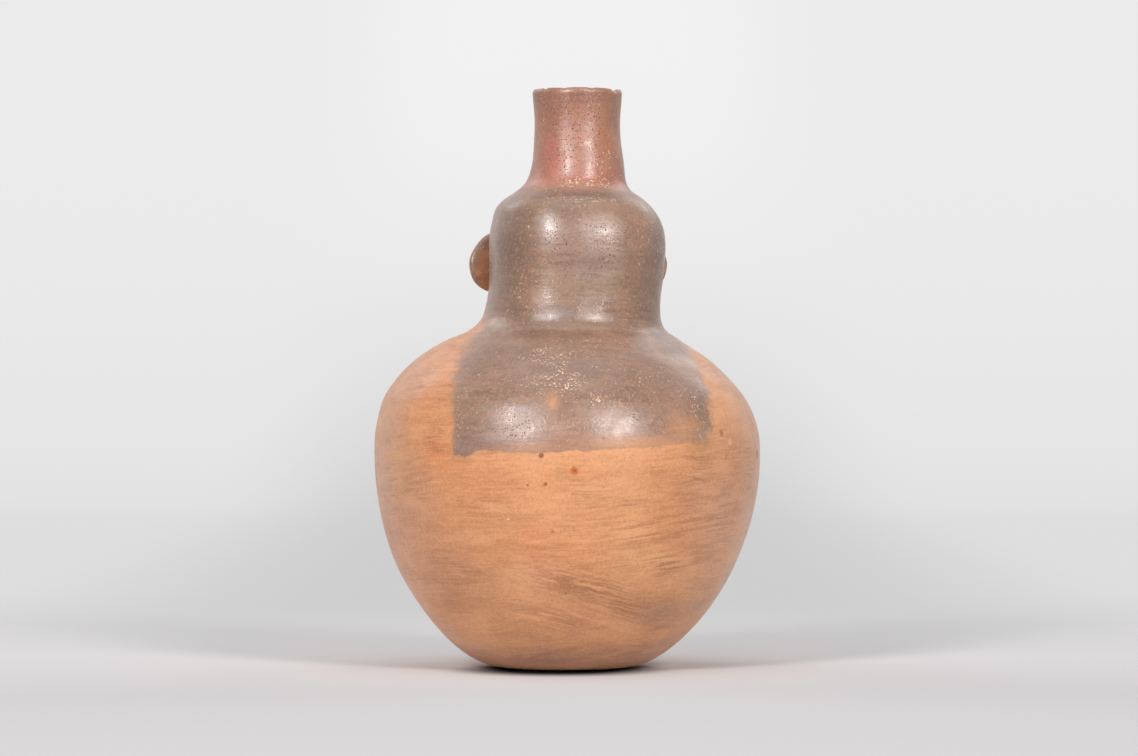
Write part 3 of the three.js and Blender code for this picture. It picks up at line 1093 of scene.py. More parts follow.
    def distance(self, place: Socket, centre: Sequence[float]) -> Socket:
        """How far places are from a point, both in metres."""
        return self.node("VectorMath", {0: place, 1: centre}, operation="DISTANCE").outputs["Value"]

    def spot(self, place: Socket, centre: Sequence[float], core: float, rim: float) -> Socket:
        """A round spot on the surface.

        Args:
            place: Where it is read.
            centre: Its middle in millimetres.
            core: The radius inside which it is whole.
            rim: The radius at which it has gone.

        Returns:
            1 inside the spot and 0 outside.
        """
        away = self.distance(place, tuple(float(part) * MM for part in centre))
        return self.span(away, core * MM, rim * MM, 1.0, 0.0)

    def bump(self, height: Socket, depth: float, below: Socket | None = None) -> Socket:
        """Fine relief.

        Args:
            height: The relief's height from 0 to 1.
            depth: Its depth in mm.
            below: Relief that it adds to, or None.

        Returns:
            The bent direction.
        """
        inputs = {"Distance": depth * MM, "Height": height}
        if below is not None:
            inputs["Normal"] = below
        return self.node("Bump", inputs).outputs["Normal"]


class NodeSheet(Wiring):
    """A new material's nodes, with its last shader in place."""

    def __init__(self, name: str, shader: str = "BsdfPrincipled") -> None:
        """Starts an empty material.

        Args:
            name: The material's name.
            shader: The kind of its last shader.
        """
        self.material = bpy.data.materials.new(name)
        self.material.use_nodes = True
        super().__init__(self.material.node_tree)
        self.tree.nodes.clear()
        self.shader = self.node(shader, {})
        self.node("OutputMaterial", {"Surface": self.shader.outputs[0]})
        self.place = self.node("TexCoord", {}).outputs["Object"]

    def finish(self, colour: Socket, rough: Socket, relief: Socket) -> bpy.types.Material:
        """Gives the shader its colour, roughness and relief.

        Args:
            colour: The colour.
            rough: The roughness.
            relief: The bent direction.

        Returns:
            The finished material.
        """
        for name, value in (("Base Color", colour), ("Roughness", rough), ("Normal", relief)):
            self.feed(self.shader.inputs[name], value)
        return self.material


@dataclass(frozen=True)
class BuffClay:
    """The fired clay of the belly and face, burnished with a pebble."""

    base: Colour = srgb(204, 137, 90)
    light: Colour = srgb(222, 161, 114)
    dark: Colour = srgb(176, 110, 70)
    orange: Colour = srgb(214, 122, 66)
    tan: Colour = srgb(176, 123, 80)
    # Pink clay, also used for painted reflection on the belly's sides.
    pink: Colour = srgb(184, 140, 122)
    grey: Colour = srgb(142, 110, 95)
    brown: Colour = srgb(146, 93, 64)
    # The pale colour of the painted edge light on the belly's sides.
    painted_sheen_colour: Colour = srgb(216, 184, 164)
    speck: Colour = srgb(122, 72, 46)
    roughness: float = 0.5


@dataclass(frozen=True)
class DarkSlip:
    """The thin grey brown slip of the hair."""

    base: Colour = srgb(125, 91, 71)
    light: Colour = srgb(146, 110, 88)
    deep: Colour = srgb(93, 67, 52)
    olive: Colour = srgb(136, 106, 80)
    # Rose slip, also used for the painted sheen on the back of the head.
    rose: Colour = srgb(162, 117, 96)
    # Grey bloom of the slip, also used for the painted highlights on the head and throat.
    bloom_and_painted_sheen: Colour = srgb(140, 128, 124)
    fleck: Colour = srgb(234, 200, 168)
    flake: Colour = srgb(204, 144, 102)
    pit: Colour = srgb(64, 44, 38)
    roughness: float = 0.31


@dataclass(frozen=True)
class RedSlip:
    """The worn red slip of the spout and lips."""

    base: Colour = srgb(150, 91, 69)
    light: Colour = srgb(173, 115, 90)
    bright: Colour = srgb(178, 84, 64)
    tan: Colour = srgb(166, 104, 62)
    deep: Colour = srgb(112, 72, 54)
    dryness: float = 0.06


@dataclass(frozen=True)
class Mark:
    """A small mark on the belly: bearing, height, radius in mm, colour, and an open middle."""

    bearing: float
    height: float
    radius: float
    colour: Colour
    core: Colour | None = None


MARKS: tuple[Mark, ...] = (
    Mark(9.1, 97.7, 1.9, srgb(184, 96, 36), srgb(136, 70, 24)),
    Mark(17.4, 91.4, 1.0, srgb(162, 88, 36), srgb(118, 68, 30)),
    Mark(18.5, 104.8, 1.3, srgb(130, 68, 34)),
    Mark(22.6, 91.0, 0.6, srgb(156, 84, 36)),
    Mark(10.9, 103.0, 0.45, srgb(156, 84, 36)),
    Mark(9.4, 87.0, 0.55, srgb(178, 92, 46)),
    Mark(0.4, 90.0, 0.4, srgb(156, 84, 36)),
    Mark(15.3, 69.2, 0.75, srgb(188, 96, 48)),
    Mark(28.7, 75.0, 0.5, srgb(228, 194, 160)),
    Mark(0.6, 112.8, 0.8, srgb(96, 60, 48)),
    Mark(11.0, 40.0, 0.5, srgb(120, 74, 50)),
    Mark(-42.5, 104.1, 0.6, srgb(160, 92, 60)),
    Mark(-44.8, 110.4, 1.6, srgb(214, 162, 136)),
    Mark(-41.0, 114.7, 1.5, srgb(164, 104, 64)),
    Mark(-66.5, 104.3, 2.2, srgb(132, 96, 94)),
)


@dataclass(frozen=True)
class PaintedClay:
    """Buff clay with the dark and red slips over it, as every outer face of the jar has."""

    name: str
    wall: JarWall
    clay: BuffClay = BuffClay()
    hair: DarkSlip = DarkSlip()
    red: RedSlip = RedSlip()
    marks: tuple[Mark, ...] = MARKS
    dust: float = 0.15
    dust_roughness: float = 0.45

    def make(self) -> bpy.types.Material:
        """Builds the material."""
        return PaintSheet(self).paint()


class PaintSheet(NodeSheet):
    """The nodes of painted clay: the mesh's tints, the burnishing strokes and every layer."""

    def __init__(self, look: PaintedClay) -> None:
        """Starts the material.

        Args:
            look: Its colours and marks.
        """
        super().__init__(look.name)
        self.look = look
        self.tint = {kind: self.attribute(kind.value) for kind in Tint}
        drift = self.ragged(110, 8)
        self.strokes = self.noise(24, 5, 0.62, self.stretched((1, 1, 12), place=drift))

    def cover(self, name: str, grain: float, detail: float, reach: float) -> Socket:
        """How much of a slip covers the clay, with a wandering edge.

        Args:
            name: The slip's attribute.
            grain: The size of the edge's wanderings in mm.
            detail: Their finer octaves.
            reach: How far they reach, in units of the edge's softness.

        Returns:
            The cover, from 0 to 1.
        """
        edge = self.attribute(name)
        wander = self.span(self.noise(grain, detail, 0.65), 0.25, 0.75, -reach, reach)
        return self.span(self.sum("ADD", edge, wander), -1.0, 1.0)

    def worn(self, grain: float, rough: float, high: float, least: float, more: float) -> Socket:
        """Where a slip has worn thin.

        Args:
            grain: The size of the worn patches in mm.
            rough: How ragged they are.
            high: The noise's value at which they are at their barest.
            least: How bare they are anywhere.
            more: How much barer they are where the mesh says that the slip is patchy.

        Returns:
            How much of the slip has gone.
        """
        bare = self.noise(grain, 5, rough)
        amount = self.sum("ADD", least, self.times(self.tint[Tint.THIN], more))
        return self.times(self.span(bare, high - 0.14, high), amount)

    def paint(self) -> bpy.types.Material:
        """Lays the clay and the slips, and what has worn off them.

        Returns:
            The finished material.
        """
        flake = self.look.hair
        clay = self._clay()
        hair_cover, hair = self._hair()
        red_cover, red = self._red()
        painted = self.blend(hair_cover, clay, hair)
        painted = self.blend(red_cover, painted, red)
        slip = self.sum("MAXIMUM", hair_cover, red_cover)
        fleck = self.times(self._flecks(), slip)
        crumb = self.span(self.noise(2.4, 2), 0.42, 0.58)
        flaked = self.blend(crumb, flake.fleck, flake.flake)
        painted = self.blend(fleck, painted, flaked)
        pit = self.times(self._pits(), slip)
        painted = self.blend(self.times(pit, 0.5), painted, flake.pit)
        rough = self._shine(slip, red_cover, fleck, pit)
        return self.finish(painted, rough, self._relief(fleck, pit))

    def _flecks(self) -> Socket:
        """Where small flecks of slip have come off, crowded in some places.

        Returns:
            1 on a fleck and 0 beside it.
        """
        fine = self.noise(0.95, 2, 0.6)
        crowd = self.span(self.noise(6, 4, 0.65), 0.4, 0.62, -0.04, 0.05)
        lower = self.sum("ADD", self.times(self.tint[Tint.FLECK], 0.098), crowd)
        over = self.sum("SUBTRACT", self.sum("ADD", fine, lower), 0.7)
        return self.span(over, 0.0, 0.03)

    def _pits(self) -> Socket:
        """Where the slip has small pits.

        Returns:
            1 in a pit and 0 beside it.
        """
        spacing, chance = self.cells(1.05, self.ragged(0.6, 0.4))
        share = self.span(self.tint[Tint.PIT], 0.0, 1.0, 0.16, 0.68)
        few = self.sum("LESS_THAN", chance, share)
        size = self.span(chance, 0.0, 0.5, 0.13, 0.31)
        return self.times(few, self.sum("LESS_THAN", spacing, size))

    def _clay(self) -> Socket:
        """The bare clay's colour.

        Returns:
            The colour.
        """
        clay, tint = self.look.clay, self.tint
        broad = self.noise(46, 2)
        patch = self.noise(13, 5, 0.6)
        colour = self.blend(self.span(broad, 0.35, 0.65), clay.base, clay.light)
        # Tints of the clay; the painted edge sheen and part of the pink paint reflections on the
        # belly's sides.
        for kind, over, low in (
            (Tint.TAN, clay.tan, 0.25),
            (Tint.PINK, clay.pink, 0.3),
            (Tint.ORANGE, clay.orange, 0.3),
            (Tint.GREY, clay.grey, 0.2),
            (Tint.PAINTED_EDGE_SHEEN, clay.painted_sheen_colour, 0.2),
        ):
            share = self.times(tint[kind], self.span(patch, low, 0.75, 0.55, 1.0))
            colour = self.blend(share, colour, over)
        banded = self.stretched((1, 1, 5), place=self.ragged(30, 4))
        bands = self.noise(30, 4, 0.6, banded)
        colour = self.coats(
            colour, (bands, 0.5, 0.64, 0.32, clay.tan), (bands, 0.5, 0.36, 0.36, clay.light)
        )
        colour = self._stroked(colour)
        grain = self.noise(1.2, 4, 0.8)
        colour = self.coats(
            colour, (grain, 0.5, 0.64, 0.42, clay.dark), (grain, 0.5, 0.37, 0.4, clay.light)
        )
        spacing, chance = self.cells(3.1)
        round_speck = self.span(spacing, 0.05, 0.13, 1.0, 0.0)
        specks = self.times(round_speck, self.sum("LESS_THAN", chance, 0.12))
        colour = self.blend(self.times(specks, 0.7), colour, clay.speck)
        return self._marked(colour)

    def _stroked(self, colour: Socket) -> Socket:
        """Lays the pebble's level, falling and rising strokes and hairlines over the clay.

        Args:
            colour: The colour so far.

        Returns:
            The colour with the strokes.
        """
        clay, tint = self.look.clay, self.tint
        slanting = self.sum("MAXIMUM", tint[Tint.HATCH], tint[Tint.RISING])
        level = self.span(slanting, 0.1, 0.8, 1.0, 0.0)
        here = self.span(self.noise(19, 3), 0.44, 0.6)
        worked = self.times(self.span(self.strokes, 0.49, 0.6), here, level)
        amount = self.sum("ADD", 0.13, self.times(tint[Tint.BROWN], 0.7))
        colour = self.blend(self.times(worked, amount), colour, clay.brown)
        drawn = self.stretched((1, 1, 14), 3, self.ragged(90, 7))
        hairlines = self.noise(13, 3, 0.6, drawn)
        dark_line = self.times(self.span(hairlines, 0.5, 0.6, 0.0, 0.24), here, level)
        colour = self.blend(dark_line, colour, clay.brown)
        colour = self.coats(colour, (hairlines, 0.5, 0.4, 0.22, clay.light))
        slant = self.noise(18, 4, 0.62, self.stretched((1, 1, 15), -16))
        hatch = self.times(self.span(slant, 0.42, 0.54), tint[Tint.HATCH], 0.72)
        colour = self.blend(hatch, colour, clay.brown)
        rising = self.noise(18, 4, 0.6, self.stretched((1, 1, 12), 8))
        upward = self.times(self.span(rising, 0.47, 0.58), tint[Tint.RISING], 0.58)
        colour = self.blend(upward, colour, clay.brown)
        return self.coats(colour, (rising, 0.45, 0.34, 0.35, clay.light))

    def _marked(self, colour: Socket) -> Socket:
        """Lays the belly's small marks over the clay.

        Args:
            colour: The colour so far.

        Returns:
            The colour with the marks.
        """
        jagged = self.ragged(1.8, 0.3)
        for mark in self.look.marks:
            centre = self.look.wall.point(mark.bearing, mark.height)
            ring = self.spot(jagged, centre, mark.radius * 0.75, mark.radius * 1.25)
            colour = self.blend(self.times(ring, 0.9), colour, mark.colour)
            if mark.core is not None:
                middle = self.spot(jagged, centre, mark.radius * 0.2, mark.radius * 0.5)
                colour = self.blend(middle, colour, mark.core)
        return colour

    def _hair(self) -> tuple[Socket, Socket]:
        """The dark slip.

        Returns:
            How much it covers, and its colour.
        """
        slip = self.look.hair
        cover = self.cover("hair_slip", 6, 6, 0.9)
        cloud = self.noise(20, 4, 0.55)
        colour = self.blend(self.span(cloud, 0.36, 0.66), slip.base, slip.light)
        drifts = self.noise(26, 5, 0.62, self.stretched((1, 1, 2)))
        colour = self.coats(
            colour, (drifts, 0.52, 0.66, 0.5, slip.rose), (drifts, 0.48, 0.34, 0.45, slip.deep)
        )
        # Tints of the slip; the grey and rose ones also paint highlights on the back of the head
        # and the throat.
        for kind, over in (
            (Tint.TAN, slip.olive),
            (Tint.ROSE, slip.rose),
            (Tint.DEEP, slip.deep),
            (Tint.GREY, slip.bloom_and_painted_sheen),
        ):
            colour = self.blend(self.times(self.tint[kind], 0.85), colour, over)
        colour = self.coats(colour, (self.strokes, 0.46, 0.62, 0.4, slip.deep))
        mottle = self.noise(1.5, 5, 0.78)
        colour = self.coats(
            colour, (mottle, 0.5, 0.64, 0.5, slip.light), (mottle, 0.5, 0.37, 0.55, slip.deep)
        )
        worn = self.worn(1.9, 0.78, 0.63, 0.2, 0.65)
        streaks = self.span(self.strokes, 0.36, 0.6, 0.45, 0.9)
        sheer = self.times(self.tint[Tint.SHEER], streaks)
        worn = self.sum("MAXIMUM", worn, sheer)
        return self.times(cover, self.sum("SUBTRACT", 0.97, worn)), colour

    def _red(self) -> tuple[Socket, Socket]:
        """The red slip.

        Returns:
            How much it covers, and its colour.
        """
        slip, tint = self.look.red, self.tint
        cover = self.cover("red_slip", 5, 5, 1.1)
        cloud = self.noise(9, 5, 0.62)
        colour = self.blend(self.span(cloud, 0.36, 0.66), slip.base, slip.light)
        colour = self.blend(self.times(tint[Tint.TAN], 0.8), colour, slip.tan)
        colour = self.blend(self.times(tint[Tint.DEEP], 0.8), colour, slip.deep)
        blush = self.times(tint[Tint.RED], self.span(cloud, 0.36, 0.58, 0.3, 1.0))
        colour = self.blend(blush, colour, slip.bright)
        mottle = self.noise(1.2, 5, 0.8)
        colour = self.coats(
            colour,
            (mottle, 0.5, 0.62, 0.6, slip.light),
            (mottle, 0.5, 0.38, 0.6, slip.deep),
            (self.strokes, 0.48, 0.64, 0.3, slip.tan),
        )
        worn = self.worn(3, 0.75, 0.64, 0.3, 0.6)
        return self.times(cover, self.sum("SUBTRACT", 0.96, worn)), colour

    def _shine(self, slip: Socket, red: Socket, fleck: Socket, pit: Socket) -> Socket:
        """Sets how brightly the surface shines, and works out its roughness.

        Args:
            slip: How much slip covers the clay.
            red: How much of that is red.
            fleck: Where slip has flaked off.
            pit: Where the surface has a pit.

        Returns:
            The roughness.
        """
        smear = self.noise(8, 5, 0.6)
        rough = self.span(smear, 0.35, 0.65, -0.06, 0.08)
        bare = self.look.clay.roughness
        polish = self.times(slip, self.look.hair.roughness - bare)
        rough = self.sum("ADD", self.sum("ADD", polish, bare), rough)
        rough = self.sum("ADD", rough, self.times(red, self.look.red.dryness))
        rough = self.sum("ADD", rough, self.times(fleck, 0.2))
        shine = self.sum("ADD", 0.5, self.times(slip, 0.5))
        shine = self.times(shine, self.span(pit, 0.0, 1.0, 1.0, 0.1))
        self.feed(self.shader.inputs["Specular IOR Level"], shine)
        self.feed(self.shader.inputs["Sheen Weight"], self.look.dust)
        self.feed(self.shader.inputs["Sheen Roughness"], self.look.dust_roughness)
        return rough

    def _relief(self, fleck: Socket, pit: Socket) -> Socket:
        """The surface's fine relief: strokes, smears, grain, flakes and pits.

        Args:
            fleck: Where slip has flaked off.
            pit: Where the surface has a pit.

        Returns:
            The bent direction.
        """
        relief = self.bump(self.strokes, 0.08)
        relief = self.bump(self.noise(2.2, 5, 0.72), 0.11, relief)
        relief = self.bump(self.noise(0.8, 3, 0.7), 0.04, relief)
        holes = self.sum("MAXIMUM", pit, self.times(fleck, 0.4))
        return self.bump(self.sum("SUBTRACT", 1.0, holes), 0.12, relief)


@dataclass(frozen=True)
class RawClay:
    """Clay that no pebble has smoothed, finger-smeared, as inside the jar."""

    name: str = "raw_clay"
    base: Colour = srgb(172, 116, 82)
    dark: Colour = srgb(124, 80, 56)
    pale: Colour = srgb(200, 150, 112)
    roughness: float = 0.82

    def make(self) -> bpy.types.Material:
        """Builds the material.

        Returns:
            The finished material.
        """
        sheet = NodeSheet(self.name)
        smear = sheet.noise(18, 5, 0.6, sheet.stretched((1, 1, 4)))
        colour = sheet.blend(sheet.span(smear, 0.35, 0.65), self.base, self.dark)
        grit = sheet.noise(1.6, 4, 0.7)
        colour = sheet.coats(colour, (grit, 0.55, 0.75, 0.6, self.pale))
        rough = sheet.span(grit, 0.3, 0.7, self.roughness - 0.08, self.roughness + 0.1)
        return sheet.finish(colour, rough, sheet.bump(grit, 0.2, sheet.bump(smear, 0.5)))


@dataclass(frozen=True)
class CreamSlip:
    """The cream slip of the eyes, with a dark round painted in the middle."""

    name: str = "cream_slip"
    base: Colour = srgb(222, 190, 156)
    stain: Colour = srgb(196, 152, 116)
    iris: Colour = srgb(84, 58, 48)
    roughness: float = 0.45

    def make(self) -> bpy.types.Material:
        """Builds the material.

        Returns:
            The finished material.
        """
        sheet = NodeSheet(self.name)
        cloud = sheet.noise(4, 5, 0.65)
        colour = sheet.blend(sheet.span(cloud, 0.4, 0.7), self.base, self.stain)
        wander = sheet.span(sheet.noise(1.5, 4, 0.6), 0.25, 0.75, -0.05, 0.05)
        rim = sheet.sum("ADD", sheet.attribute("iris"), wander)
        colour = sheet.blend(sheet.span(rim, 0.92, 1.08, 0.92, 0.0), colour, self.iris)
        lid = sheet.sum("ADD", sheet.attribute("lid"), wander)
        colour = sheet.coats(colour, (lid, 0.8, 0.95, 0.75, self.iris))
        rough = sheet.span(cloud, 0.3, 0.7, self.roughness - 0.06, self.roughness + 0.1)
        return sheet.finish(colour, rough, sheet.bump(sheet.noise(1.2, 4, 0.65), 0.08))


class Slot(Enum):
    """The record's material slots."""

    BUFF = "buff_clay"
    DARK = "dark_slip"
    RED = "red_slip"
    CREAM = "cream_slip"
    RAW = "raw_clay"


@dataclass
class Workshop:
    """What every piece is made with: the wall, the paint and the finishes."""

    wall: JarWall
    paint: Paint
    finishes: dict[Slot, bpy.types.Material]

    def dress(
        self, piece: bpy.types.Object, slot: Slot, nodes: Sequence[str], **cover: float
    ) -> bpy.types.Object:
        """Paints a piece, gives it its finish and puts it in place of its CAD nodes.

        Args:
            piece: The piece.
            slot: The record's slot for its outer face.
            nodes: The CAD nodes that it stands for.
            **cover: Fixed covers of hair or red slip.

        Returns:
            The piece.
        """
        self.paint.lay(piece, cover.get("hair"), cover.get("red"))
        piece.data.materials.append(self.finishes[slot])
        piece.data.materials.append(self.finishes[Slot.RAW])
        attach(piece, BODY)
        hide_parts(*nodes)
        LOG.info("%s: %d faces for %s", piece.name, len(piece.data.polygons), ", ".join(nodes))
        return piece


# The turned pieces.


@dataclass
class WallRing:
    """A ring of wall between two heights, open above and below for its neighbours."""

    name: str
    node: str
    slot: Slot
    low: float
    high: float
    wall_thickness: float = 5.0
    columns: int = 224
    row_step: float = 1.3
    inner_rows: int = 24

    def arcs(self, wall: JarWall, step: float) -> Array:
        """Even lengths along the outline from the ring's foot to its top."""
        foot, top = float(wall.arc_at(self.low)), float(wall.arc_at(self.high))
        return np.linspace(foot, top, max(int((top - foot) / step), 2) + 1)

    def build(self, shop: Workshop) -> bpy.types.Object:
        """Makes the ring.

        Args:
            shop: What it is made with.

        Returns:
            The piece.
        """
        wall = shop.wall
        angles = even_turn(self.columns)
        outer = self.arcs(wall, self.row_step)[:, None]
        step = (outer[-1, 0] - outer[0, 0]) / self.inner_rows
        inner = self.arcs(wall, step)[:, None]
        draft = MeshDraft()
        skin = draft.add(wall.skin(angles, outer), wall.normals(angles, outer))
        lining = draft.add(wall.skin(angles, inner, self.wall_thickness, 0.0))
        draft.quads(skin, True, Part.OUTSIDE)
        draft.quads(lining[::-1], True, Part.INSIDE)
        draft.quads(np.stack([skin[-1], lining[-1]]), True, Part.INSIDE, flat=True)
        draft.quads(np.stack([lining[0], skin[0]]), True, Part.INSIDE, flat=True)
        return shop.dress(draft.build(self.name), self.slot, [self.node])


@dataclass
class Bowl(WallRing):
    """The lower half of the belly, with its foot and floor."""

    name: str = "bowl"
    node: str = "lower_bowl"
    slot: Slot = Slot.BUFF
    low: float = 0.0
    high: float = BELLY_SEAM
    floor_thickness: float = 7.0
    floor_curve: float = 3.0
    floor_rings: Outline = ((0.3, 0.02), (0.6, 0.18), (0.85, 0.6))
    foot_hollow: float = 0.5
    foot_rings: tuple[float, ...] = (0.25, 0.5, 0.7, 0.85, 0.95)

    def build(self, shop: Workshop) -> bpy.types.Object:
        """Makes the bowl.

        Args:
            shop: What it is made with.

        Returns:
            The piece.
        """
        wall = shop.wall
        angles = even_turn(self.columns)
        outer = self.arcs(wall, self.row_step)[:, None]
        draft = MeshDraft()
        skin = draft.add(wall.skin(angles, outer), wall.normals(angles, outer))
        draft.quads(skin, True, Part.OUTSIDE)
        rim = wall.skin(angles, outer[:1])[0]
        middle = np.array([wall.lean_at(0.0), 0.0, self.foot_hollow])
        shares = np.array(self.foot_rings)[:, None, None]
        under = middle + (rim - middle) * shares
        under[..., 2] = self.foot_hollow * (1 - shares[:, :, 0] ** 3)
        foot = draft.add(under)
        draft.quads(np.vstack([foot, skin[:1]]), True, Part.OUTSIDE)
        draft.fan(foot[0], int(draft.add(middle[None])[0]), Part.OUTSIDE, upward=False)
        low = float(wall.arc_at(self.floor_thickness + self.floor_curve))
        inner = np.linspace(low, float(outer[-1, 0]), self.inner_rows * 2)[:, None]
        lining_points = wall.skin(angles, inner, self.wall_thickness, 0.0)
        lining = draft.add(lining_points)
        draft.quads(lining[::-1], True, Part.INSIDE)
        draft.quads(np.stack([skin[-1], lining[-1]]), True, Part.INSIDE, flat=True)
        centre = np.array([wall.lean_at(0.0), 0.0, self.floor_thickness])
        shares, rises = np.array(self.floor_rings).T[:, :, None]
        inward = centre + (lining_points[0] - centre) * shares[:, :, None]
        inward[..., 2] = self.floor_thickness + rises * (lining_points[0, :, 2] - centre[2])
        floor = draft.add(inward)
        draft.quads(np.vstack([lining[:1], floor[::-1]]), True, Part.INSIDE)
        draft.fan(floor[0], int(draft.add(centre[None])[0]), Part.INSIDE, upward=True)
        return shop.dress(draft.build(self.name), self.slot, [self.node])


@dataclass
class HeadHalf:
    """Half of the head chamber, split by an upright plane through its sides."""

    name: str
    nodes: tuple[str, ...]
    slot: Slot
    first_angle: float
    columns: int
    low: float = THROAT_SEAM
    high: float = CROWN_SEAM
    wall_thickness: float = 5.0
    row_step: float = 0.5
    inner_rows: int = 40
    inner_skip: int = 4

    def build(self, shop: Workshop) -> bpy.types.Object:
        """Makes the half.

        Args:
            shop: What it is made with.

        Returns:
            The piece.
        """
        wall = shop.wall
        angles = self.first_angle + np.linspace(0, math.pi, self.columns + 1)
        foot, top = float(wall.arc_at(self.low)), float(wall.arc_at(self.high))
        outer = np.linspace(foot, top, int((top - foot) / self.row_step) + 1)[:, None]
        inner = np.linspace(foot, top, self.inner_rows)[:, None]
        draft = MeshDraft()
        skin = draft.add(wall.skin(angles, outer), wall.normals(angles, outer))
        thin = angles[:: self.inner_skip]
        lining = draft.add(wall.skin(thin, inner, self.wall_thickness, 0.0))
        draft.quads(skin, False, Part.OUTSIDE)
        draft.quads(lining[::-1], False, Part.INSIDE)
        draft.lace(lining[-1], skin[-1], Part.INSIDE)
        draft.lace(skin[0], lining[0], Part.INSIDE)
        draft.lace(lining[:, 0], skin[:, 0], Part.INSIDE)
        draft.lace(skin[:, -1], lining[:, -1], Part.INSIDE)
        return shop.dress(draft.build(self.name), self.slot, self.nodes)


@dataclass(frozen=True)
class Chip:
    """A small chip in the lip: its bearing, half width in degrees and depth in mm."""

    bearing: float
    half_width: float
    depth: float


@dataclass
class SpoutLip:
    """The spout's rim: rounded, a little wavy and chipped."""

    name: str = "lip"
    node: str = "spout_lip"
    low: float = LIP_SEAM
    skin_top: float = 279.0
    skin_lift: tuple[float, float] = (275.0, 279.0)
    bore_top: float = 278.0
    bore_lift: tuple[float, float] = (274.5, 278.5)
    wall_thickness: float = 4.0
    columns: int = 260
    skin_rows: int = 15
    shaded_rows: int = 9
    bore_rows: int = 11
    painted_rows: int = 4
    round_rows: int = 9
    roundness: float = 0.95
    wave_depth: float = 0.28
    rise: float = 0.7
    chips: tuple[Chip, ...] = (
        Chip(-50, 5, 0.9), Chip(-43, 2.5, 0.5), Chip(58, 4, 0.45), Chip(28, 3, 0.25),
        Chip(-8, 4, 0.25), Chip(112, 5, 0.5), Chip(-130, 6, 0.4), Chip(170, 4, 0.35),
    )

    def wave(self, bearing: Array) -> Array:
        """How far the rim's top moves up.

        Args:
            bearing: The bearing in degrees.

        Returns:
            Its rise there.
        """
        angle = np.radians(bearing)
        rise = 0.5 * np.sin(2 * angle + 0.8) + 0.35 * np.sin(5 * angle + 2.0)
        rise = self.rise + self.wave_depth * (rise + 0.25 * np.sin(9 * angle))
        for chip in self.chips:
            apart = bearings_apart(bearing, chip.bearing) / chip.half_width
            rise = rise - chip.depth * np.exp(-(apart**4))
        return rise

    def build(self, shop: Workshop) -> bpy.types.Object:
        """Makes the lip.

        Args:
            shop: What it is made with.

        Returns:
            The piece.
        """
        wall = shop.wall
        angles = even_turn(self.columns)
        wave = self.wave(90.0 - np.degrees(angles))
        foot, top = float(wall.arc_at(self.low)), float(wall.arc_at(self.skin_top))
        outer = np.linspace(foot, top, self.skin_rows)[:, None]
        rows = wall.skin(angles, outer)
        normals = wall.normals(angles, outer)
        rows[..., 2] += smooth_step(rows[..., 2], *self.skin_lift) * wave
        top = float(wall.arc_at(self.bore_top))
        inner = np.linspace(top, foot, self.bore_rows)[:, None]
        bore = wall.skin(angles, inner, self.wall_thickness, 0.0)
        bore[..., 2] += smooth_step(bore[..., 2], *self.bore_lift) * wave
        turn = np.linspace(0, math.pi, self.round_rows)[1:-1, None, None]
        over = (rows[-1] + bore[0]) / 2 + (rows[-1] - bore[0]) / 2 * np.cos(turn)
        over[..., 2] += self.roundness * np.sin(turn[..., 0]) ** 0.8
        draft = MeshDraft()
        shaded, painted = self.shaded_rows, self.painted_rows
        known = draft.add(rows[:shaded], normals[:shaded])
        skin = np.vstack([known, draft.add(np.concatenate([rows[shaded:], over]))])
        lining = draft.add(bore)
        draft.quads(np.vstack([skin, lining[:painted]]), True, Part.OUTSIDE)
        draft.quads(lining[painted - 1 :], True, Part.INSIDE)
        draft.quads(np.stack([lining[-1], skin[0]]), True, Part.INSIDE, flat=True)
        return shop.dress(draft.build(self.name), Slot.RED, [self.node])


# What is applied to the head.


@dataclass
class AppliedClay:
    """A pellet or roll of clay on the face: a field of heights over the skin, closed behind."""

    name: str
    node: str
    slot: Slot
    side: float
    rows: int = 56
    turns: int = 24
    bedding: float = 0.35
    end_bedding: float = 0.8
    sunk: float = 1.6

    def outline(self, share: Array, turn: Array) -> tuple[Array, Array]:
        """Distance from the midline and height at a share along it and a turn across it."""
        raise NotImplementedError

    def lift(self, share: Array, turn: Array) -> Array:
        """How far it stands off the skin there."""
        raise NotImplementedError

    def build(self, shop: Workshop, **cover: float) -> bpy.types.Object:
        """Makes the piece.

        Args:
            shop: What it is made with.
            **cover: Fixed covers of hair or red slip.

        Returns:
            The piece.
        """
        wall = shop.wall
        shares = -np.cos(np.linspace(0, math.pi, self.rows + 1))[1:-1, None]
        turns = -np.cos(np.linspace(0, math.pi, self.turns + 1))[None, :]
        across, height = self.outline(shares, turns)
        across, height = np.broadcast_arrays(across, height)
        front = wall.on_face(across, height, self.lift(shares, turns) - self.bedding)
        behind = wall.on_face(across[:, 1:-1], height[:, 1:-1], -self.sunk)
        tips = self.outline(np.array([[-1.0], [1.0]]), np.zeros((1, 1)))
        ends = wall.on_face(*np.broadcast_arrays(*tips), -self.end_bedding)
        draft = MeshDraft()
        face = draft.add(front)
        rear = draft.add(behind)
        rings = np.concatenate([face, rear[:, ::-1]], axis=1)
        rings = rings if across[-1, 0] > across[0, 0] else rings[:, ::-1]
        draft.quads(rings, True, Part.OUTSIDE)
        first, last = (int(draft.add(end)[0]) for end in ends)
        draft.fan(rings[0], first, Part.OUTSIDE, upward=False)
        draft.fan(rings[-1], last, Part.OUTSIDE, upward=True)
        piece = draft.build(self.name)
        self.note(piece.data, shares, turns)
        return shop.dress(piece, self.slot, [self.node], **cover)

    def note(self, mesh: bpy.types.Mesh, shares: Array, turns: Array) -> None:
        """Writes what the finish needs to know, if it needs anything."""


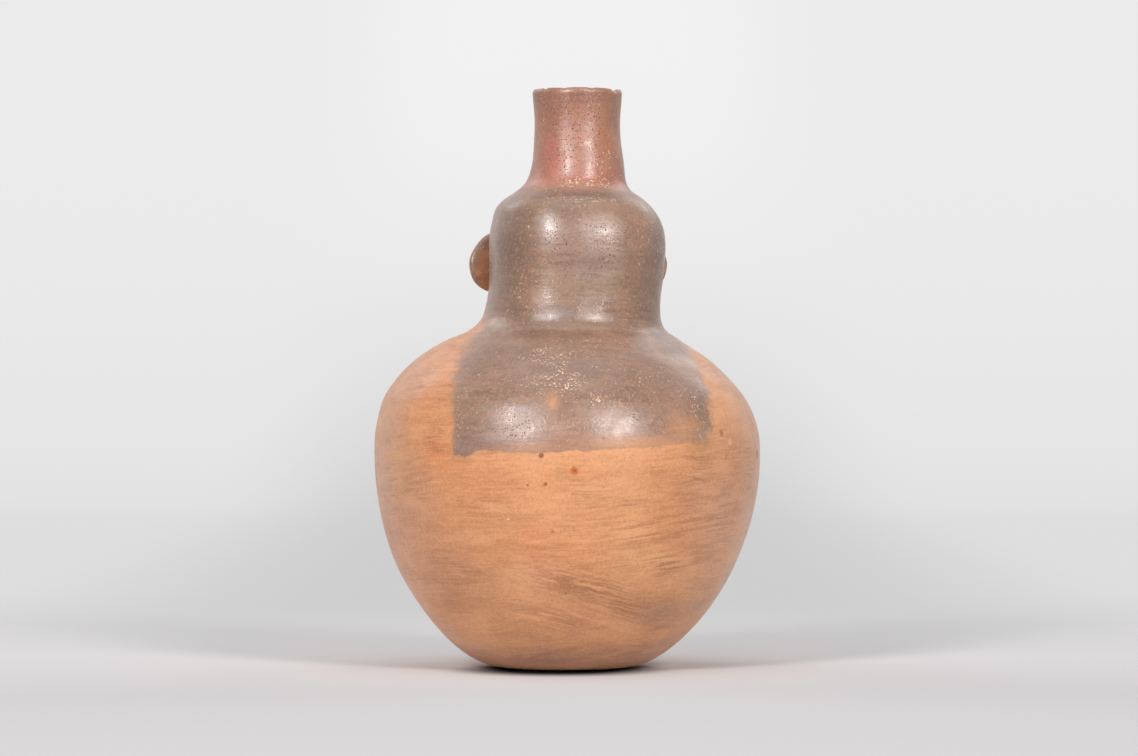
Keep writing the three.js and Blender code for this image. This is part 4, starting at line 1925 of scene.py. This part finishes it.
@dataclass
class Eye(AppliedClay):
    """An almond pellet: a ball between two lids."""

    spacing: float = FaceForm.eye_spacing
    level: float = FaceForm.eye
    half_width: float = 8.0
    half_height: float = 4.0
    slope: float = 0.06
    dome: float = 3.5
    lid: float = 0.5
    crease: float = 0.35
    iris_radius: float = 2.5

    def outline(self, share: Array, turn: Array) -> tuple[Array, Array]:
        """The almond's place on the face, its midline rising a little.

        Args:
            share: The share along the eye, from -1 to 1.
            turn: The turn across it, from -1 to 1.

        Returns:
            Distance from the face's midline, and height.
        """
        across = self.side * self.spacing + self.half_width * share
        middle = self.level + self.slope * (np.abs(across) - self.spacing)
        return across, middle + self.half_height * arch(share, 0.85) * turn

    def lift(self, share: Array, turn: Array) -> Array:
        """The raised lid round the domed ball.

        Args:
            share: The share along the eye, from -1 to 1.
            turn: The turn across it, from -1 to 1.

        Returns:
            How far it stands off the skin.
        """
        dome = self.dome * arch(share) * arch(turn, 0.45)
        rim = np.sqrt(np.clip(share**4 + turn**2, 0, None))
        lid = self.lid * bell(rim, 0.8, 0.12) * arch(share, 0.3)
        return dome + lid - self.crease * bell(rim, 0.64, 0.05) * arch(share, 0.3)

    def note(self, mesh: bpy.types.Mesh, shares: Array, turns: Array) -> None:
        """Writes how far each point is from the middle of the iris and the edge of the lid.

        Args:
            mesh: The eye's mesh, whose first points are the front's.
            shares: The front's shares along the eye.
            turns: Its turns across the eye.
        """
        points = points_of(mesh)
        across = points[:, 0] - points[:, 0].mean()
        lid = np.ones(len(points))
        grid = np.sqrt(np.clip(shares**4 + turns**2, 0, 1.0))
        lid[: grid.size] = grid.ravel()
        note_values(mesh, "iris", np.hypot(across, points[:, 2] - self.level) / self.iris_radius)
        note_values(mesh, "lid", lid)


@dataclass
class Brow(AppliedClay):
    """A low arched roll above the eye."""

    spacing: float = FaceForm.brow_spacing
    level: float = FaceForm.brow
    half_width: float = 10.8
    half_height: float = 1.6
    rise: float = 1.6
    fullness: float = 2.1

    def outline(self, share: Array, turn: Array) -> tuple[Array, Array]:
        """Distance from the midline and height at a share along it and a turn across it."""
        up = self.rise * (1 - share**2) + self.half_height * arch(share, 0.4) * turn
        return self.side * (self.spacing + self.half_width * share), self.level + up

    def lift(self, share: Array, turn: Array) -> Array:
        """A rounded roll with thin ends."""
        return self.fullness * arch(share) * arch(turn)


@dataclass
class LipRoll(AppliedClay):
    """A lip: the upper one (side 1) dips in the middle, the lower one (side -1) is plain."""

    level: float = FaceForm.mouth
    half_width: float = 12.5
    half_height: float = 1.9
    parting: float = 0.25
    curve: float = 1.5
    fullness: float = 2.8

    def outline(self, share: Array, turn: Array) -> tuple[Array, Array]:
        """The lip's place on the face.

        Args:
            share: The share along the lip, from -1 to 1.
            turn: The turn across it, from -1 to 1.

        Returns:
            Distance from the face's midline, and height.
        """
        middle = self.level + self.side * (self.parting + self.half_height - self.curve * share**2)
        if self.side > 0:
            middle = middle - 0.8 * bell(share, 0, 0.2) + 0.5 * bell(np.abs(share), 0.3, 0.2)
        return self.half_width * share, middle + self.half_height * arch(share, 0.6) * turn

    def lift(self, share: Array, turn: Array) -> Array:
        """A full roll."""
        return self.fullness * arch(share, 0.6) * arch(turn)


@dataclass
class Ear:
    """A dished oval ear that stands out from the side of the head and leans back."""

    name: str
    node: str
    side: float
    middle: tuple[float, float, float] = (38.1, -27.5, 195.4)
    half_width: float = 11.6
    upper_half: float = 13.4
    lower_half: float = 12.4
    root_rise: float = 3.0
    root_angle: float = 1.75
    root_spread: float = 0.62
    dish: float = 0.5
    thickness: float = 3.2
    sweep: float = 20.0
    offset: float = 0.5
    rings: int = 34
    facets: int = 120

    def front(self, share: Array, angle: Array) -> Array:
        """The dished front: a rolled rim, an inner fold and a small lobe.

        Args:
            share: Distance from the ear's middle, 1 at its edge.
            angle: Angle round the ear from its outer side towards its top.

        Returns:
            How far forward it stands.
        """
        rim = self.dish + 2.7 * bell(share, 0.85, 0.15) * np.sqrt(np.maximum(1 - share**8, 0))
        fold = 0.9 * bell(share, 0.5, 0.11) * smooth_step(np.cos(angle - 0.3), -0.3, 0.5)
        lobe = 1.1 * bell(angle, -math.pi / 2, 0.55) * bell(share, 0.68, 0.2)
        return rim + fold + lobe

    def build(self, shop: Workshop) -> bpy.types.Object:
        """Makes the ear.

        Args:
            shop: What it is made with.

        Returns:
            The piece.
        """
        wall = shop.wall
        shares = np.sin(np.linspace(0, math.pi / 2, self.rings + 1))[1:, None]
        angle = np.linspace(-math.pi, math.pi, self.facets, endpoint=False)[None, :]
        ripple = 1 + 0.012 * np.sin(3 * angle + 1) + 0.008 * np.sin(7 * angle)
        rear = -self.thickness * np.sqrt(np.maximum(1 - shares**2.4, 0)) * np.ones_like(angle)
        fore = self.front(shares[:-1], angle)
        draft = MeshDraft()
        back_rows = draft.add(self._placed(wall, shares * ripple, angle, rear))
        fore_rows = draft.add(self._placed(wall, shares[:-1] * ripple, angle, fore))
        middle = np.zeros((1, 1))
        back_pole = draft.add(self._placed(wall, middle, middle, middle - self.thickness))
        fore_pole = draft.add(self._placed(wall, middle, middle, middle + self.dish))
        rows = np.vstack([back_rows, fore_rows[::-1]])
        rows = rows if self.side > 0 else rows[:, ::-1]
        draft.quads(rows, True, Part.OUTSIDE)
        draft.fan(rows[0], int(back_pole[0, 0]), Part.OUTSIDE, upward=False)
        draft.fan(rows[-1], int(fore_pole[0, 0]), Part.OUTSIDE, upward=True)
        return shop.dress(draft.build(self.name), Slot.DARK, [self.node], hair=0.6)

    def _placed(self, wall: JarWall, share: Array, angle: Array, depth: Array) -> Array:
        """Points of the ear in the row frame.

        Args:
            wall: The jar's wall.
            share: Distance from the ear's middle.
            angle: Angle round the ear.
            depth: Distance in front of its plane.

        Returns:
            The points.
        """
        share, angle, depth = np.broadcast_arrays(share, angle, depth)
        sweep = math.radians(self.sweep)
        out = share * self.half_width * np.cos(angle)
        half = np.where(np.sin(angle) > 0, self.upper_half, self.lower_half)
        half = half + self.root_rise * bell(angle, self.root_angle, self.root_spread)
        up = share * half * np.sin(angle)
        x = self.middle[0] + out * math.cos(sweep) + depth * math.sin(sweep)
        y = self.middle[1] + out * math.sin(sweep) - depth * math.cos(sweep)
        shift = float(wall.lean_at(self.middle[2])) - self.offset
        return np.stack(
            [self.side * x + shift, y + wall.head_setback, self.middle[2] + up], axis=-1
        )


# The studio.


@dataclass(frozen=True)
class Softbox:
    """A soft studio lamp: where it stands round the jar, its size in metres and its power."""

    name: str
    bearing: float
    elevation: float
    distance: float
    width: float
    height: float
    power: float


@dataclass
class Studio:
    """A seamless pale sweep, five softboxes, a pale room and the camera: metres, degrees."""

    camera_bearing: float = 11.0
    camera_distance: float = 2.303
    camera_height: float = 0.1406
    camera_shift: float = 0.0008
    lens: float = 150.0
    sensor: float = 36.0
    aim_height: float = 0.14
    room_light: float = 0.25
    room_seen: float = 0.9
    room_colour: Colour = (246, 246, 248)
    sweep_half_width: float = 5.0
    sweep_front: float = 4.0
    sweep_back: float = 2.7
    sweep_bend: float = 1.9
    sweep_top: float = 4.0
    flat_rows: int = 67
    bend_rows: int = 48
    sweep_columns: int = 120
    paper_colour: Colour = (218, 216, 217)
    glow_span: tuple[float, float] = (0.02, 0.8)
    # Painted light and shade of the backdrop's glow, in screen brightness: darkest low down behind
    # the jar as its soft shadow, lighter upwards, and at the top lighter in the middle than at the
    # sides.
    middle_tones: tuple[float, float] = (205.0, 241.0)
    middle_rise: tuple[float, float] = (2.72, 4.1)
    edge_tones: tuple[float, float] = (221.0, 234.0)
    edge_rise: tuple[float, float] = (2.2, 4.0)
    glow_middle: float = 0.14
    glow_edge: float = 0.4
    far_span: tuple[float, float] = (0.65, 1.4)
    # Painted contact shadow: a dark disc on the paper round the foot, a little towards the camera,
    # that only the camera sees.
    painted_shadow_core: float = 0.0235
    painted_shadow_rim: float = 0.06
    painted_shadow_tone: float = 0.02
    painted_shadow_forward: float = 0.0205
    painted_shadow_aside: float = -0.0045
    # Painted floor light and shade: the paper darkens towards the camera, where the lamps light it
    # most, and lightens behind the jar, where its shadow falls.
    painted_floor_lights: Outline = ((-0.6, 0.84), (-0.2, 0.95), (0.1, 1.15), (0.5, 1.22))
    softboxes: tuple[Softbox, ...] = (
        Softbox("softbox_left", 28.0, 24.0, 2.3, 0.5, 0.8, 29.5),
        Softbox("softbox_right", -31.0, 24.0, 2.3, 0.5, 0.8, 26.0),
        Softbox("softbox_above", 0.0, 80.0, 1.5, 1.2, 1.2, 4.5),
        Softbox("softbox_face_left", 128.0, 36.0, 1.6, 0.7, 0.7, 3.2),
        Softbox("softbox_face_right", -140.0, 36.0, 1.6, 0.7, 0.7, 2.3),
    )

    def build(self) -> None:
        """Sets up the whole studio."""
        self._sweep()
        self._lamps()
        self._world()
        self._camera()
        bpy.context.scene.view_settings.view_transform = "Standard"

    def _right(self) -> Vector:
        """The level direction towards the right of the view."""
        towards = self._towards(self.camera_bearing)
        return Vector((-towards.y, towards.x, 0.0))

    def _towards(self, bearing: float, elevation: float = 0.0) -> Vector:
        """A direction from the jar.

        Args:
            bearing: Its bearing in degrees.
            elevation: Its rise above the level in degrees.

        Returns:
            The direction, of length 1.
        """
        turn, rise = math.radians(bearing), math.radians(elevation)
        level = math.cos(rise)
        return Vector((math.sin(turn) * level, math.cos(turn) * level, math.sin(rise)))

    def _camera(self) -> None:
        """Places the camera where the photograph was taken from."""
        towards = self._towards(self.camera_bearing)
        data = bpy.data.cameras.new("view_from_behind")
        data.lens, data.sensor_width = self.lens, self.sensor
        camera = in_scene("view_from_behind", data)
        camera.location = towards * self.camera_distance + self._right() * self.camera_shift
        camera.location.z = self.camera_height
        camera.rotation_euler = (-towards).to_track_quat("-Z", "Y").to_euler()
        bpy.context.scene.camera = camera

    def _lamps(self) -> None:
        """Places the softboxes, each turned to the jar."""
        for box in self.softboxes:
            data = bpy.data.lights.new(box.name, "AREA")
            data.shape = "RECTANGLE"
            data.size, data.size_y, data.energy = box.width, box.height, box.power
            lamp = in_scene(box.name, data)
            towards = self._towards(self.camera_bearing + box.bearing, box.elevation)
            lamp.location = towards * box.distance + Vector((0.0, 0.0, self.aim_height))
            lamp.rotation_euler = (-towards).to_track_quat("-Z", "Y").to_euler()

    def _world(self) -> None:
        """Fills the room with pale light."""
        world = bpy.data.worlds.new("pale_room")
        world.use_nodes = True
        wiring = Wiring(world.node_tree)
        inputs = {"Value": wiring.seen_directly(), "To Min": self.room_light}
        strength = wiring.node("MapRange", {**inputs, "To Max": self.room_seen})
        background = wiring.tree.nodes["Background"].inputs
        wiring.feed(background["Color"], srgb(*self.room_colour))
        wiring.feed(background["Strength"], strength.outputs["Result"])
        bpy.context.scene.world = world

    def _sweep(self) -> None:
        """Builds the floor that bends up into the backdrop behind the jar."""
        bend = np.linspace(0, math.pi / 2, self.bend_rows + 1)
        flat = np.linspace(-self.sweep_front, self.sweep_back, self.flat_rows + 1)[:-1]
        back = self.sweep_back + self.sweep_bend * np.sin(bend)
        lift = self.sweep_bend * (1 - np.cos(bend))
        run = np.concatenate([flat, back, back[-1:]])[:, None]
        rise = np.concatenate([np.zeros(len(flat)), lift, [self.sweep_top]])[:, None]
        side = np.linspace(-1, 1, self.sweep_columns + 1)[None, :] ** 3 * self.sweep_half_width
        towards = self._towards(self.camera_bearing)
        x, y = towards.y * side - towards.x * run, -towards.y * run - towards.x * side
        points = np.stack([x, y, rise + 0 * side], axis=-1)
        corner = np.arange(points[..., 0].size).reshape(points.shape[:2])
        faces = np.stack(
            [corner[:-1, :-1], corner[1:, :-1], corner[1:, 1:], corner[:-1, 1:]], axis=-1
        )
        mesh = bpy.data.meshes.new("sweep")
        mesh.from_pydata(points.reshape(-1, 3).tolist(), [], faces.reshape(-1, 4).tolist())
        mesh.polygons.foreach_set("use_smooth", [True] * len(mesh.polygons))
        # The glow's brightness, with the painted shadow low down in the middle and painted light
        # towards the top.
        low, high = self.middle_tones
        level = low + (high - low) * smooth_step(run, *self.middle_rise)
        low, high = self.edge_tones
        edge = low + (high - low) * smooth_step(run, *self.edge_rise)
        aside = smooth_step(np.abs(side), self.glow_middle, self.glow_edge)
        level = level + (edge - level) * aside
        glow = np.maximum(smooth_step(run, *self.glow_span), smooth_step(-run, *self.far_span))
        glow = np.maximum(glow, smooth_step(np.abs(side), *self.far_span))
        # The paper's painted light and shade along the run.
        tone = np.interp(run, *np.array(self.painted_floor_lights).T) + 0 * side
        note_values(mesh, "glow", glow)
        note_values(mesh, "painted_floor_light", tone)
        note_values(mesh, "glow_level", (level / 255.0) ** 2.2)
        mesh.materials.append(self._paper())
        sweep = in_scene("sweep", mesh)

    def _paper(self) -> bpy.types.Material:
        """The sweep's pale paper, which glows to the camera where it is far behind the jar.

        Returns:
            The material.
        """
        sheet = NodeSheet("sweep_paper", "MixShader")
        # The painted contact shadow: a dark disc round the foot that only direct rays see; other
        # rays see the paper unshaded.
        towards = self._towards(self.camera_bearing)
        centre = towards * self.painted_shadow_forward + self._right() * self.painted_shadow_aside
        away = sheet.distance(sheet.place, centre)
        painted_shadow = sheet.span(away, self.painted_shadow_core, self.painted_shadow_rim, self.painted_shadow_tone)
        seen = sheet.seen_directly()
        gap = sheet.sum("MAXIMUM", painted_shadow, sheet.sum("SUBTRACT", 1.0, seen))
        # The paper's painted light and shade, times the painted contact shadow.
        tone = sheet.times(sheet.attribute("painted_floor_light"), gap)
        shade = {0: srgb(*self.paper_colour), "Scale": tone}
        colour = sheet.node("VectorMath", shade, operation="SCALE").outputs["Vector"]
        paper = sheet.node("BsdfDiffuse", {"Color": colour})
        glow = sheet.node("Emission", {"Strength": sheet.attribute("glow_level")})
        share = sheet.times(seen, sheet.attribute("glow"))
        for number, value in enumerate((share, paper.outputs[0], glow.outputs[0])):
            sheet.feed(sheet.shader.inputs[number], value)
        return sheet.material


def make_shop() -> Workshop:
    """Prepares the wall, the paint and the finishes.

    Returns:
        What every piece is made with.
    """
    wall = JarWall()
    finishes = {
        slot: PaintedClay(slot.value, wall).make() for slot in (Slot.BUFF, Slot.DARK, Slot.RED)
    }
    finishes[Slot.CREAM] = CreamSlip().make()
    finishes[Slot.RAW] = RawClay().make()
    return Workshop(wall, Paint(wall, HairSlip(wall)), finishes)


def turned_pieces() -> list[WallRing | HeadHalf | SpoutLip]:
    """Lists the turned pieces, from the foot up.

    Returns:
        The bowl, shoulder, head halves, neck and lip.
    """
    neck = WallRing("neck", "neck_spout", Slot.RED, CROWN_SEAM, LIP_SEAM, wall_thickness=4.0)
    neck.columns, neck.row_step, neck.inner_rows = 160, 0.9, 12
    return [
        Bowl(),
        WallRing("shoulder", "shoulder_shell", Slot.BUFF, BELLY_SEAM, THROAT_SEAM),
        HeadHalf("head_back_half", ("head_back",), Slot.DARK, 0.0, 180),
        HeadHalf("head_face_half", ("head_face", "nose"), Slot.BUFF, math.pi, 360),
        neck,
        SpoutLip(),
    ]


def main() -> None:
    """Builds the jar and its studio, piece by piece."""
    logging.basicConfig(level=logging.INFO, format="%(name)s: %(message)s")
    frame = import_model()
    shop = make_shop()
    for piece in turned_pieces():
        piece.build(shop)
    for word, side in (("left", 1.0), ("right", -1.0)):
        Ear(f"ear_{word}_dished", f"ear_{word}", side).build(shop)
        Eye(f"eye_{word}_almond", f"eye_{word}", Slot.CREAM, side).build(shop)
        Brow(f"brow_{word}_roll", f"brow_{word}", Slot.DARK, side).build(shop, hair=3.0)
    LipRoll("lip_roll_upper", "upper_lip", Slot.RED, 1.0).build(shop, red=1.2)
    lower = LipRoll("lip_roll_lower", "lower_lip", Slot.RED, -1.0, half_height=2.2, fullness=3.3)
    lower.build(shop, red=1.2)
    for name in ("body_seam_coil", "throat_seam_coil", "crown_seam_coil"):
        coil = frame["nodes"][name]
        coil.data.materials.clear()
        coil.data.materials.append(shop.finishes[Slot.RAW])
        LOG.info("%s: kept, in raw clay", name)
    Studio().build()


if __name__ == "__main__":
    main()
